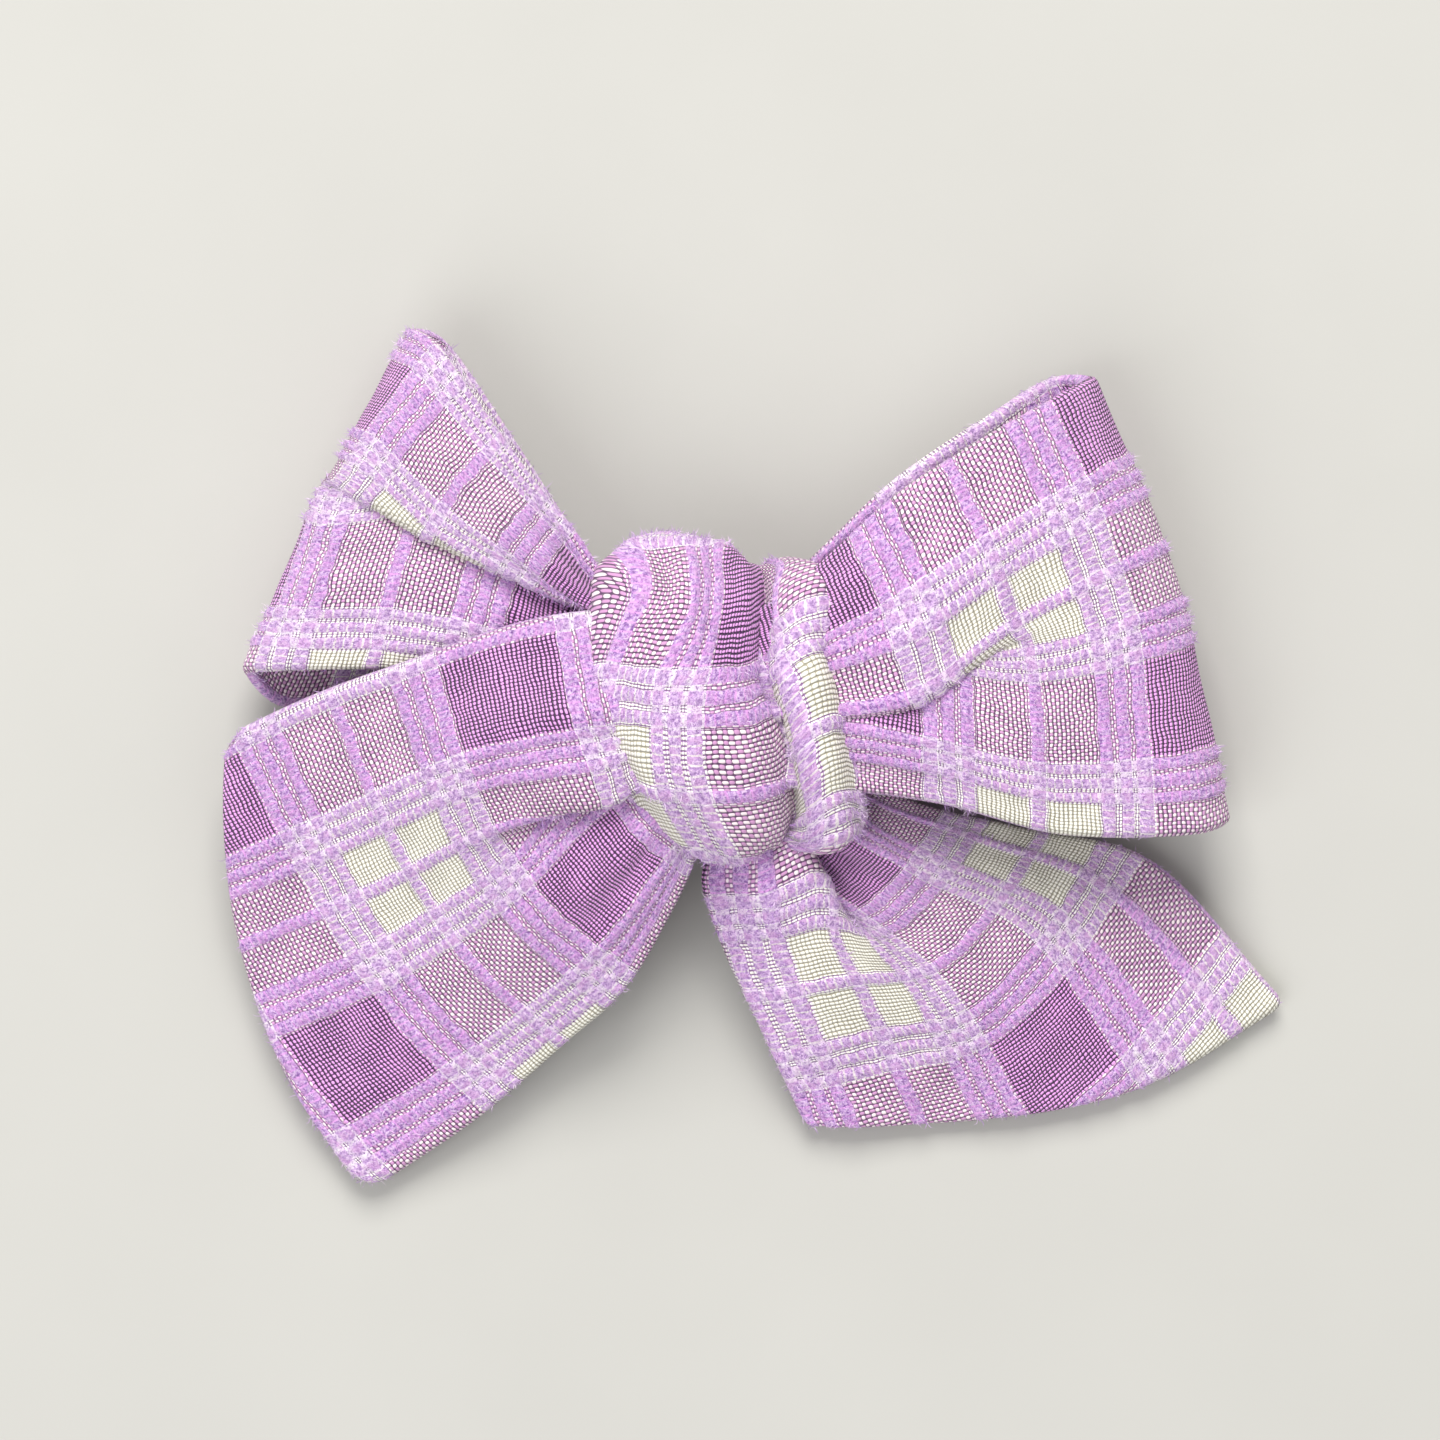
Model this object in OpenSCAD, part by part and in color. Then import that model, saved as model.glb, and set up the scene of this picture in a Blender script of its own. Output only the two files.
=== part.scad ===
// Hand-tied fabric hair bow on a lined alligator clip.
// Lies on its back: +X to the wearer's left, +Y towards the loops' tops, +Z out of the bow's face.
// The origin is on the clip's flat underside, straight below the middle of the knot.

/* [Fabric] */
// Thickness of the sewn two-ply strip
strip_t = 1.6; // [1.2:0.1:1.8]
// Thickness of the pleated strip inside the knot
pleat_t = 2.4; // [2:0.1:2.5]
// Distance between the three layers of strip at the knot
layer_gap = 2.8; // [2.7:0.1:3]

/* [Knot] */
// Width of the knot across the bow
knot_w = 27; // [25:0.5:28]
// Height of the knot
knot_h = 34; // [32:0.5:35]
// Thickness of the knot's band behind the strip
knot_back_t = 1.2; // [1:0.1:1.3]

/* [Clip] */
// Width of the clip's arms and of its ribbon
arm_w = 9; // [8.8:0.1:9.4]
// Thickness of the clip's sheet steel
sheet_t = 0.6; // [0.5:0.05:0.6]
// Height of the hinge axis over the clip's underside
hinge_z = 3; // [3:0.05:3.1]
// Place of the hinge along the clip
hinge_x = 11; // [10.5:0.1:11]
// Upward bend of the thumb tab, in degrees
tab_angle = 15; // [13:0.5:16]
// Teeth along each edge of the lower arm
teeth = 6; // [4:1:6]

/* [Spring and pin] */
// Diameter of the spring wire
wire_d = 0.6; // [0.5:0.05:0.6]
// Whole turns in the spring's coil, besides its last half turn
coil_turns = 4; // [3:1:4]
// Radius of the hinge pin
pin_r = 0.7; // [0.6:0.05:0.7]

/* [Hidden] */

lilac = "#c9a0dc";
steel = "#c8ccd0";
$fn = 48;

// Clip, from the table up
arm_front = -21;
arm_rear = 27.5;
arm_gap = 5.2;                            // underside of the upper arm over the table
arm_mid = arm_gap + sheet_t / 2;
bend_x = 14;                              // where the thumb tab starts to rise
tip_drop = 12.5;                          // distance from the tip to the flat of the upper arm
ear_r = 1.6;
ear_foot = 2.6;
lower_ear_y = arm_w / 2;                  // outer faces of the lower arm's ears
upper_ear_y = lower_ear_y - sheet_t - 0.2;
notch = 3.6;                              // half length of the upper arm's narrow waist at the hinge
pin_play = 0.02;
hinge_play = 0.05;
jaw_play = 0.15;                          // left between the closed jaws' tips
head_r = 1.15;
head_t = 0.4;
tooth_h = 1.2;
tooth_half = 0.9;                         // half length of a tooth at its root
tooth_pitch = 2;
tooth_t = 0.5;
first_tooth = arm_front + 4.4;
upper_inset = 0.3;                        // the upper arm is this much narrower on each side
corner_r = 1.5;                           // rear corners of both arms
tab_r = 4;                                // bend radius where the thumb tab starts

ribbon_t = 0.4;
ribbon_under = 5.4;                       // length folded back under the thumb tab
ribbon_mid = sheet_t / 2 + ribbon_t / 2 + 0.02;
ribbon_top = arm_gap + sheet_t + ribbon_t + 0.04;
pad_t = 0.5;
pad_size = [14, 7.6];

// Bow, from the clip up
back_z = ribbon_top + pad_t;              // back of the knot's band
layer3 = back_z + knot_back_t + 0.9 + pleat_t / 2;
layer2 = layer3 + layer_gap;
layer1 = layer2 + layer_gap;
thread_d = 0.5;
thread_turns = 3;
thread_pitch = thread_d + 0.05;
thread_play = 0.15;                       // slack of the thread over the strip, and more at its ends
thread_end_play = 0.5;
core_half = 8.4;                          // half height of the tied strip inside the knot
core_low = layer3 - pleat_t / 2;
core_high = layer1 + pleat_t / 2;
hole_half = core_half + thread_d + 1.6;
hole_high = core_high + 1.1;
knot_skin = 2.6;                          // the knot's thickness in front of the strip
band_x = [-knot_w / 2 + 6.5, knot_w / 2 - 5];  // the knot's band stops short of its lobes' sides
band_r = 3;
right_drop = 0.8;                         // the right lobe's top under the left one's
wing_play = 0.6;
// Balls under the two lobes of the knot
left_lobe = [[-knot_w / 2 + 6.4, knot_h / 2 - 6.2, 6.2], [-knot_w / 2 + 5.6, 2, 6.2], [-4.4, -6.8, 6],
    [-0.8, -knot_h / 2 + 6.2, 6.2], [-2.6, 8.6, 6], [-1.6, 0, 6.6]];
right_lobe = [[knot_w / 2 - 6.6, knot_h / 2 - 8, 4.8], [knot_w / 2 - 6.4, 0, 5.2],
    [knot_w / 2 - 5.2, -knot_h / 2 + 7.2, 5.2]];

// Rails of each wing: its upper edge, its fold line and its lower edge. Each has five stations: the
// middle of the knot, past the tie, where it leaves the knot, halfway out, and the wing's end.
left_tail_rails = [
    [[-0.2, 7.6, layer1], [-5, 8, 16], [-13.5, 8.2, 16.4], [-33, 3.4, 14.8], [-51, -4.6, 8]],
    [[-0.2, 0, layer1], [-4, -3, 15.6], [-12, -9, 14.6], [-30, -16, 9.2], [-48.4, -27, 2.4]],
    [[-0.2, -7.6, layer1], [-2.4, -9.8, 15], [-5, -16.8, 12.6], [-14.5, -30, 6], [-37.2, -49.8, 1.2]]];
right_tail_rails = [
    [[0.2, -7.6, layer3], [2.2, -10.2, 9.8], [-2, -17, 8.4], [2.6, -31, 4.4], [8, -43, 1.2]],
    [[0.2, 0, layer3], [3.6, -5, 9.8], [7, -15, 8.2], [17.5, -27, 4.2], [32, -42, 1.2]],
    [[0.2, 7.6, layer3], [6, 2, 9.6], [14.5, -8, 7.6], [38, -15.6, 2.4], [56.6, -31, 1.2]]];
left_loop_rails = [
    [[-0.2, 7.6, layer2], [-5, 8.4, 12.9], [-12.6, 10.6, 13.2], [-20.6, 23, 14.8], [-29.6, 35.8, 12]],
    [[-0.2, 0, layer2], [-5, 2, 12.6], [-13.8, 6, 12.2], [-26, 12.6, 12.6], [-37, 19, 11]],
    [[-0.2, -7.6, layer2], [-5, -5, 12.4], [-13.4, -1, 12], [-29, -0.4, 11.4], [-45.6, 1.6, 9.8]]];
right_loop_rails = [
    [[0.2, 7.6, layer1], [4.6, 8.6, 15.7], [10.4, 14, 15.8], [23, 24, 16.8], [33, 30.4, 13]],
    [[0.2, 0, layer1], [5, 0, 15.6], [12.8, 1, 14.8], [27, 5, 15.6], [43, 9, 12.6]],
    [[0.2, -7.6, layer1], [4.6, -8, 15.6], [12.2, -8.4, 15.2], [31, -12, 16], [46.6, -12.2, 12.4]]];

// Heights of each loop's back panel at the same five stations, and how far its end bulges out
left_back_z = [layer3, 10, 8.6, 5.4, 3.4];
right_back_z = [layer2, 12.8, 12.2, 11, 4.6];
left_bulge = [-2.6, 1.4, 0];
right_bulge = [3, 0.8, 0];
// Slip of each back panel across the strip, so that it doesn't lie exactly behind the front
left_slip = [0.6, 1.4, 0];
right_slip = [-0.8, 1.6, 0];

cells_along = 5;                          // cells between two stations of a rail
cells_across = 8;

// ---- Curves and skins ----

// Point at t, counted in stations, on the smooth curve through the points p
function along(p, t) =
    let (n = len(p) - 1, i = min(floor(t), n - 1), f = t - i,
         b = p[i], c = p[i + 1],
         a = i > 0 ? p[i - 1] : 2 * b - c,
         d = i < n - 1 ? p[i + 2] : 2 * c - b)
    b + f * ((c - a) / 2 + f * ((2 * a - 5 * b + 4 * c - d) / 2 + f * (3 * b - a - 3 * c + d) / 2));

function unit(v) = v / norm(v);

// Grid of points on the skin that the rails carry, from one end to the other
function skin(rails) =
    let (ns = (len(rails[0]) - 1) * cells_along, nt = cells_across)
    [for (i = [0:ns]) let (row = [for (r = rails) along(r, i / cells_along)])
        [for (j = [0:nt]) along(row, j * (len(rails) - 1) / nt)]];

// Unit normal of a grid at one of its points
function grid_normal(g, i, j) =
    let (n = len(g) - 1, m = len(g[0]) - 1,
         du = g[min(i + 1, n)][j] - g[max(i - 1, 0)][j],
         dv = g[i][min(j + 1, m)] - g[i][max(j - 1, 0)])
    unit(cross(du, dv));

// Closed sheet of cloth about a grid of points; its thickness runs from t0 at the first row to t1
module cloth(g, t0, t1) {
    n = len(g) - 1;
    m = len(g[0]) - 1;
    thick = [for (i = [0:n]) t1 + (t0 - t1) * pow(max(0, 1 - i / (1.5 * cells_along)), 2)];
    side = [for (k = [1, -1]) [for (i = [0:n]) for (j = [0:m])
        g[i][j] + k * thick[i] / 2 * grid_normal(g, i, j)]];
    a = function(i, j) i * (m + 1) + j;
    low = (n + 1) * (m + 1);
    b = function(i, j) low + a(i, j);
    quads = concat(
        [for (i = [0:n - 1]) for (j = [0:m - 1]) [a(i, j), a(i, j + 1), a(i + 1, j + 1), a(i + 1, j)]],
        [for (i = [0:n - 1]) for (j = [0:m - 1]) [b(i, j), b(i + 1, j), b(i + 1, j + 1), b(i, j + 1)]],
        [for (i = [0:n - 1]) [a(i, 0), a(i + 1, 0), b(i + 1, 0), b(i, 0)]],
        [for (i = [0:n - 1]) [a(i + 1, m), a(i, m), b(i, m), b(i + 1, m)]],
        [for (j = [0:m - 1]) [a(0, j + 1), a(0, j), b(0, j), b(0, j + 1)]],
        [for (j = [0:m - 1]) [a(n, j), a(n, j + 1), b(n, j + 1), b(n, j)]]);
    polyhedron(concat(side[0], side[1]),
        [for (q = quads) for (t = [[q[0], q[1], q[2]], [q[0], q[2], q[3]]]) t], convexity = 6);
}

// A loop's rail, out along the front, round the end and back behind
function loop_rail(front, back_z, bulge, slip) =
    let (last = len(front) - 1, end = front[last],
         apex = [end.x, end.y, (end.z + back_z[last]) / 2] + bulge,
         back = [for (k = [last:-1:0]) [front[k].x, front[k].y, back_z[k]] + slip * (k / last)])
    concat(front, [apex], back);

// Outline of a strip of width w about a path of points in a plane
function ribbon_outline(path, w) =
    let (n = len(path) - 1,
         normal = [for (i = [0:n]) let (d = unit(path[min(i + 1, n)] - path[max(i - 1, 0)])) [-d.y, d.x]])
    concat([for (i = [0:n]) path[i] + normal[i] * w / 2], [for (i = [n:-1:0]) path[i] - normal[i] * w / 2]);

// Extrudes an X-Z outline by w, centred on the X-Z plane
module across(outline, w) {
    rotate([90, 0, 0]) translate([0, 0, -w / 2]) linear_extrude(w) polygon(outline);
}

// Round bar through the points p with the given number of sides
module tube(p, d, sides) {
    n = len(p) - 1;
    ring = [for (i = [0:n])
        let (dir = unit(p[min(i + 1, n)] - p[max(i - 1, 0)]),
             u = unit(cross(dir, [0, 1, 0])), v = cross(u, dir))
        for (k = [0:sides - 1]) p[i] + d / 2 * (cos(360 * k / sides) * u + sin(360 * k / sides) * v)];
    walls = [for (i = [0:n - 1]) for (k = [0:sides - 1])
        let (a = i * sides + k, b = i * sides + (k + 1) % sides)
        each [[a, a + sides, b + sides], [a, b + sides, b]]];
    polyhedron(ring, concat(walls, [[for (k = [0:sides - 1]) k]],
        [[for (k = [sides - 1:-1:0]) n * sides + k]]), convexity = 8);
}

// ---- Clip ----

// Middle line of the upper arm, from the tip to the end of the thumb tab
tip_low = 1.5 * sheet_t + jaw_play;
arm_path = concat(
    [for (k = [0:8]) let (u = k / 8)
        [arm_front + 0.4 + u * tip_drop, tip_low + (arm_mid - tip_low) * sin(90 * u)]],
    [[hinge_x - notch, arm_mid], [bend_x - 0.6, arm_mid]],
    [for (k = [0:3]) let (a = tab_angle * k / 3)
        [bend_x + tab_r * sin(a), arm_mid + tab_r * (1 - cos(a))]],
    [[arm_rear, arm_mid + tab_r * (1 - cos(tab_angle))
        + (arm_rear - bend_x - tab_r * sin(tab_angle)) * tan(tab_angle)]]);

// Plan of an arm: a strip with a rounded front and softened rear corners
module arm_plan(w, rear) {
    hull() {
        translate([arm_front + w / 2, 0]) circle(d = w);
        for (s = [-1, 1]) translate([rear - corner_r, s * (w / 2 - corner_r)]) circle(r = corner_r);
    }
}

// A hinge ear: a flat plate round the pin, from the arm's sheet at height z0
module ear(y_out, z0) {
    s = sign(y_out);
    translate([hinge_x, y_out, 0]) rotate([90, 0, 0]) translate([0, 0, s > 0 ? 0 : -sheet_t])
        linear_extrude(sheet_t) union() {
            translate([0, hinge_z]) circle(r = ear_r);
            polygon([[-ear_foot, z0], [ear_foot, z0], [ear_r, hinge_z], [-ear_r, hinge_z]]);
        }
}

module bore(r) {
    translate([hinge_x, arm_w, hinge_z]) rotate([90, 0, 0]) cylinder(r = r, h = 2 * arm_w);
}

module lower_arm() {
    color(steel) difference() {
        union() {
            linear_extrude(sheet_t) arm_plan(arm_w, arm_rear);
            for (s = [-1, 1]) {
                ear(s * lower_ear_y, sheet_t / 2);
                for (k = [0:teeth - 1])
                    translate([first_tooth + k * tooth_pitch, s * (arm_w - tooth_t) / 2, 0])
                        across([[-tooth_half, sheet_t / 2], [tooth_half, sheet_t / 2],
                            [0, sheet_t + tooth_h]], tooth_t);
            }
        }
        bore(pin_r + hinge_play);
    }
}

module upper_arm() {
    color(steel) difference() {
        union() {
            intersection() {
                across(ribbon_outline(arm_path, sheet_t), arm_w);
                linear_extrude(20) difference() {
                    arm_plan(arm_w - 2 * upper_inset, arm_rear + 2);
                    for (s = [-1, 1]) translate([hinge_x - notch, s > 0 ? upper_ear_y : -arm_w])
                        square([2 * notch, arm_w - upper_ear_y]);
                }
            }
            for (s = [-1, 1]) ear(s * upper_ear_y, arm_gap + sheet_t / 2);
        }
        bore(pin_r + pin_play);
    }
}

module hinge_pin() {
    reach = lower_ear_y + hinge_play;
    color(steel) translate([hinge_x, 0, hinge_z]) rotate([90, 0, 0]) {
        cylinder(r = pin_r, h = 2 * reach + head_t, center = true);
        for (s = [-1, 1]) translate([0, 0, s * (reach + head_t / 2)])
            cylinder(r = head_r, h = head_t, center = true);
    }
}

module torsion_spring() {
    coil_r = 1.42;
    leg = 8.4;
    up = 7.8;                             // slope of the leg under the thumb tab
    down = -2.6;                          // slope of the leg on the lower arm
    half_w = 2.1;
    from = 90 + up;
    turn = 180 + down - up + 360 * coil_turns;
    steps = 16 * coil_turns;
    coil = [for (k = [0:steps]) let (a = from + turn * k / steps)
        [coil_r * cos(a), half_w - 2 * half_w * k / steps, coil_r * sin(a)]];
    upper_leg = coil[0] + leg * [cos(up), 0, sin(up)];
    lower_leg = coil[steps] + leg * [cos(down), 0, sin(down)];
    color(steel) translate([hinge_x, 0, hinge_z]) tube(concat([upper_leg], coil, [lower_leg]), wire_d, 8);
}

module ribbon_lining() {
    last = len(arm_path) - 1;
    lift = [for (i = [1:last])
        let (d = unit(arm_path[min(i + 1, last)] - arm_path[i - 1])) arm_path[i] + ribbon_mid * [-d.y, d.x]];
    tab = unit(arm_path[last] - arm_path[last - 1]);
    out = arm_path[last] + 0.1 * tab;
    wrap = [for (k = [1:7]) let (a = 90 - 180 * k / 8)
        out + ribbon_mid * (cos(a) * tab + sin(a) * [-tab.y, tab.x])];
    under = out - ribbon_under * tab - ribbon_mid * [-tab.y, tab.x];
    color("#efe6f2") across(ribbon_outline(concat(lift, wrap,
        [out - ribbon_mid * [-tab.y, tab.x], under]), ribbon_t), arm_w);
}

module glue_pad() {
    color("#f2efe6") translate([0, 0, ribbon_top]) linear_extrude(pad_t) hull()
        for (x = [-1, 1]) translate([x * (pad_size.x - pad_size.y) / 2, 0]) circle(d = pad_size.y);
}

// ---- Bow ----

// Rounded frame in the Y-Z plane, half as high as half_h each way, from z0 to z1
module frame_outline(half_h, z0, z1, r) {
    hull() for (y = [-1, 1]) for (z = [z0 + r, z1 - r])
        translate([y * (half_h - r), z]) circle(r = r);
}

// Extrudes a Y-Z outline along X between x0 and x1
module along_x(x0, x1) {
    translate([x0, 0, 0]) rotate([90, 0, 90]) linear_extrude(x1 - x0) children();
}

module tie_thread() {
    color("white") for (k = [0:thread_turns - 1])
        translate([(k - (thread_turns - 1) / 2) * thread_pitch, 0, 0]) along_x(-thread_d / 2, thread_d / 2)
            difference() {
                frame_outline(core_half + thread_d + thread_end_play, core_low - thread_d - thread_play,
                    core_high + thread_d + thread_play, 1.2);
                frame_outline(core_half + thread_end_play, core_low - thread_play,
                    core_high + thread_play, 0.6);
            }
}

module left_tail() {
    color(lilac) cloth(skin(left_tail_rails), pleat_t, strip_t);
}

module right_tail() {
    color(lilac) cloth(skin(right_tail_rails), pleat_t, strip_t);
}

module left_loop() {
    color(lilac) cloth(skin([for (r = left_loop_rails)
        loop_rail(r, left_back_z, left_bulge, left_slip)]), pleat_t, strip_t);
}

module right_loop() {
    color(lilac) cloth(skin([for (r = right_loop_rails)
        loop_rail(r, right_back_z, right_bulge, right_slip)]), pleat_t, strip_t);
}

// Rails moved apart by e, square to their own run, for a cutter that clears a wing's edges
function spread(rails, e) =
    let (n = len(rails) - 1, shift = function(p, q) [for (k = [0:len(p) - 1])
        let (run = unit(p[min(k + 1, len(p) - 1)] - p[max(k - 1, 0)]), out = p[k] - q[k])
        p[k] + e * unit(out - run * (out * run))])
    [shift(rails[0], rails[1]), for (k = [1:n - 1]) rails[k], shift(rails[n], rails[n - 1])];

// Room for the four wings where they leave the knot
module wing_room() {
    t = pleat_t + 2 * wing_play;
    for (rails = [left_tail_rails, right_tail_rails, left_loop_rails, right_loop_rails])
        cloth(skin(spread(rails, wing_play)), t, t);
    for (rails = [left_loop_rails, right_loop_rails]) {
        left = rails == left_loop_rails;
        back_at = left ? left_back_z : right_back_z;
        cloth(skin(spread([for (r = rails) [for (k = [0:3]) [r[k].x, r[k].y, back_at[k]]
            + (left ? left_slip : right_slip) * (k / 4)]], wing_play)), t, t);
    }
}

// One lobe of the knot: a skin over balls, each given as [x, y, radius], level with the knot's top
module lobe(balls, top) {
    hull() for (b = balls) translate([b.x, b.y, top - b.z]) sphere(r = b.z, $fn = 32);
}

module knot_wrap() {
    top = hole_high + knot_skin;
    color(lilac) difference() {
        union() {
            along_x(band_x[0], band_x[1])
                frame_outline(hole_half + knot_skin, back_z, hole_high + 1.4, band_r);
            lobe(left_lobe, top);
            lobe(right_lobe, top - right_drop);
        }
        along_x(-knot_w, knot_w) frame_outline(hole_half, back_z + knot_back_t, hole_high, 1);
        wing_room();
    }
}

lower_arm();
upper_arm();
hinge_pin();
torsion_spring();
ribbon_lining();
glue_pad();
tie_thread();
left_tail();
right_tail();
left_loop();
right_loop();
knot_wrap();
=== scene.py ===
"""A hand-tied plaid hair bow on a ribbon-lined alligator clip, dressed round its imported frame."""

import logging
import math
from dataclasses import dataclass, field
from enum import Enum

import bpy
import numpy as np
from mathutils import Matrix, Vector


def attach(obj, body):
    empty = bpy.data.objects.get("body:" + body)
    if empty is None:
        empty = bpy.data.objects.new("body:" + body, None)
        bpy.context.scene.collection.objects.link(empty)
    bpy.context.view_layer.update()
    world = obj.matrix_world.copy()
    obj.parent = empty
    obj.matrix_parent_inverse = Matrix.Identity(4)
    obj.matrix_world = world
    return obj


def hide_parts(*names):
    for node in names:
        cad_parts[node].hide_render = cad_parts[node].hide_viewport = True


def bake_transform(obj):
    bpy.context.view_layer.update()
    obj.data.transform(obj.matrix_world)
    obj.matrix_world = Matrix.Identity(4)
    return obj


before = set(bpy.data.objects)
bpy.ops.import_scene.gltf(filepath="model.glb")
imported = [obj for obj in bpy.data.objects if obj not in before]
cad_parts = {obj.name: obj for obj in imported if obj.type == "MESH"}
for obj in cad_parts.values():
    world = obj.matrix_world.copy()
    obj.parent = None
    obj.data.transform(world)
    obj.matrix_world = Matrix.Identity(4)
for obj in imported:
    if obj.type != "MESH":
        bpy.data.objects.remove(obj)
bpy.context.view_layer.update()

MM = 0.001
UV_SCALE = 0.01

logging.basicConfig(level=logging.INFO, format="%(message)s")
log = logging.getLogger("bow")


class Hold(Enum):
    """How a piece of cloth is held."""

    FOLDED = "folded"
    GATHERED = "gathered"
    LAID = "laid"


class Body(Enum):
    """The two rigid bodies of the clip."""

    BOW = "bow"
    JAW = "jaw"


# ---------------------------------------------------------------- numbers and curves


def lattice_noise(x: np.ndarray, y: np.ndarray, seed: int) -> np.ndarray:
    """Gives smooth value noise with one lattice cell per unit.

    Args:
        x: First coordinate.
        y: Second coordinate, of the same shape.
        seed: Picks the pattern.

    Returns:
        Values from -1 to 1, of the shape of x.
    """
    size = 64
    table = np.random.default_rng(seed).uniform(-1, 1, (size, size))
    xi, yi = np.floor(x).astype(int), np.floor(y).astype(int)
    fx, fy = x - xi, y - yi
    fx, fy = fx * fx * (3 - 2 * fx), fy * fy * (3 - 2 * fy)
    x0, x1, y0, y1 = xi % size, (xi + 1) % size, yi % size, (yi + 1) % size
    low = table[x0, y0] * (1 - fx) + table[x1, y0] * fx
    high = table[x0, y1] * (1 - fx) + table[x1, y1] * fx
    return low * (1 - fy) + high * fy


def smooth_step(t: np.ndarray) -> np.ndarray:
    """Returns 0 below 0, 1 above 1 and an even S between them."""
    t = np.clip(t, 0, 1)
    return t * t * (3 - 2 * t)


def spline(stations: np.ndarray, per: int = 24, closed: bool = False) -> np.ndarray:
    """Runs a smooth curve through stations, evenly behaved where they are unevenly spaced.

    Args:
        stations: Points, one a row; the first three columns are the place.
        per: Samples between two stations.
        closed: True if the last station leads back to the first.

    Returns:
        The samples, with the last station at the end, or the first again on a closed curve.
    """
    p = np.asarray(stations, float)
    if closed:
        p = np.vstack([p[-1:], p, p[:2]])
    else:
        p = np.vstack([2 * p[0] - p[1], p, 2 * p[-1] - p[-2]])
    gaps = np.linalg.norm(np.diff(p[:, :3], axis=0), axis=1) ** 0.5
    out = []
    for k in range(1, len(p) - 2):
        before, here, after = gaps[k - 1], gaps[k], gaps[k + 1]
        m1 = (p[k + 1] - p[k]) + here * ((p[k] - p[k - 1]) / before - (p[k + 1] - p[k - 1]) / (before + here))
        m2 = (p[k + 1] - p[k]) + here * ((p[k + 2] - p[k + 1]) / after - (p[k + 2] - p[k]) / (here + after))
        t = np.arange(per)[:, None] / per
        out.append((2 * t**3 - 3 * t**2 + 1) * p[k] + (t**3 - 2 * t**2 + t) * m1
                   + (3 * t**2 - 2 * t**3) * p[k + 1] + (t**3 - t**2) * m2)
    out.append(p[-2][None])
    return np.vstack(out)


def arc(curve: np.ndarray) -> np.ndarray:
    """Returns the length along a curve at each of its points."""
    return np.concatenate([[0.0], np.cumsum(np.linalg.norm(np.diff(curve[:, :3], axis=0), axis=1))])


def resample(curve: np.ndarray, count: int) -> np.ndarray:
    """Spaces count + 1 points evenly along a curve.

    Args:
        curve: Points, one a row; the first three columns are the place.
        count: Number of steps.

    Returns:
        The evenly spaced points, with every column carried along.
    """
    length = arc(curve)
    at = np.linspace(0, length[-1], count + 1)
    return np.stack([np.interp(at, length, curve[:, k]) for k in range(curve.shape[1])], axis=1)


def soften(line: np.ndarray, spread: float) -> np.ndarray:
    """Rounds the corners of an evenly sampled line and leaves its two ends where they are.

    Args:
        line: Points, one a row.
        spread: Reach of the rounding, in samples.

    Returns:
        The rounded line, of the same shape.
    """
    reach = int(3 * spread) + 1
    kernel = np.exp(-0.5 * (np.arange(-reach, reach + 1) / spread) ** 2)
    kernel /= kernel.sum()
    reach = min(reach, len(line) - 1)
    kernel = kernel[len(kernel) // 2 - reach:len(kernel) // 2 + reach + 1]
    kernel /= kernel.sum()
    head = 2 * line[0] - line[1:reach + 1][::-1]
    tail = 2 * line[-1] - line[-reach - 1:-1][::-1]
    padded = np.vstack([head, line, tail])
    return np.stack([np.convolve(padded[:, k], kernel, "valid") for k in range(line.shape[1])], axis=1)


# ---------------------------------------------------------------- the plaid


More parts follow.
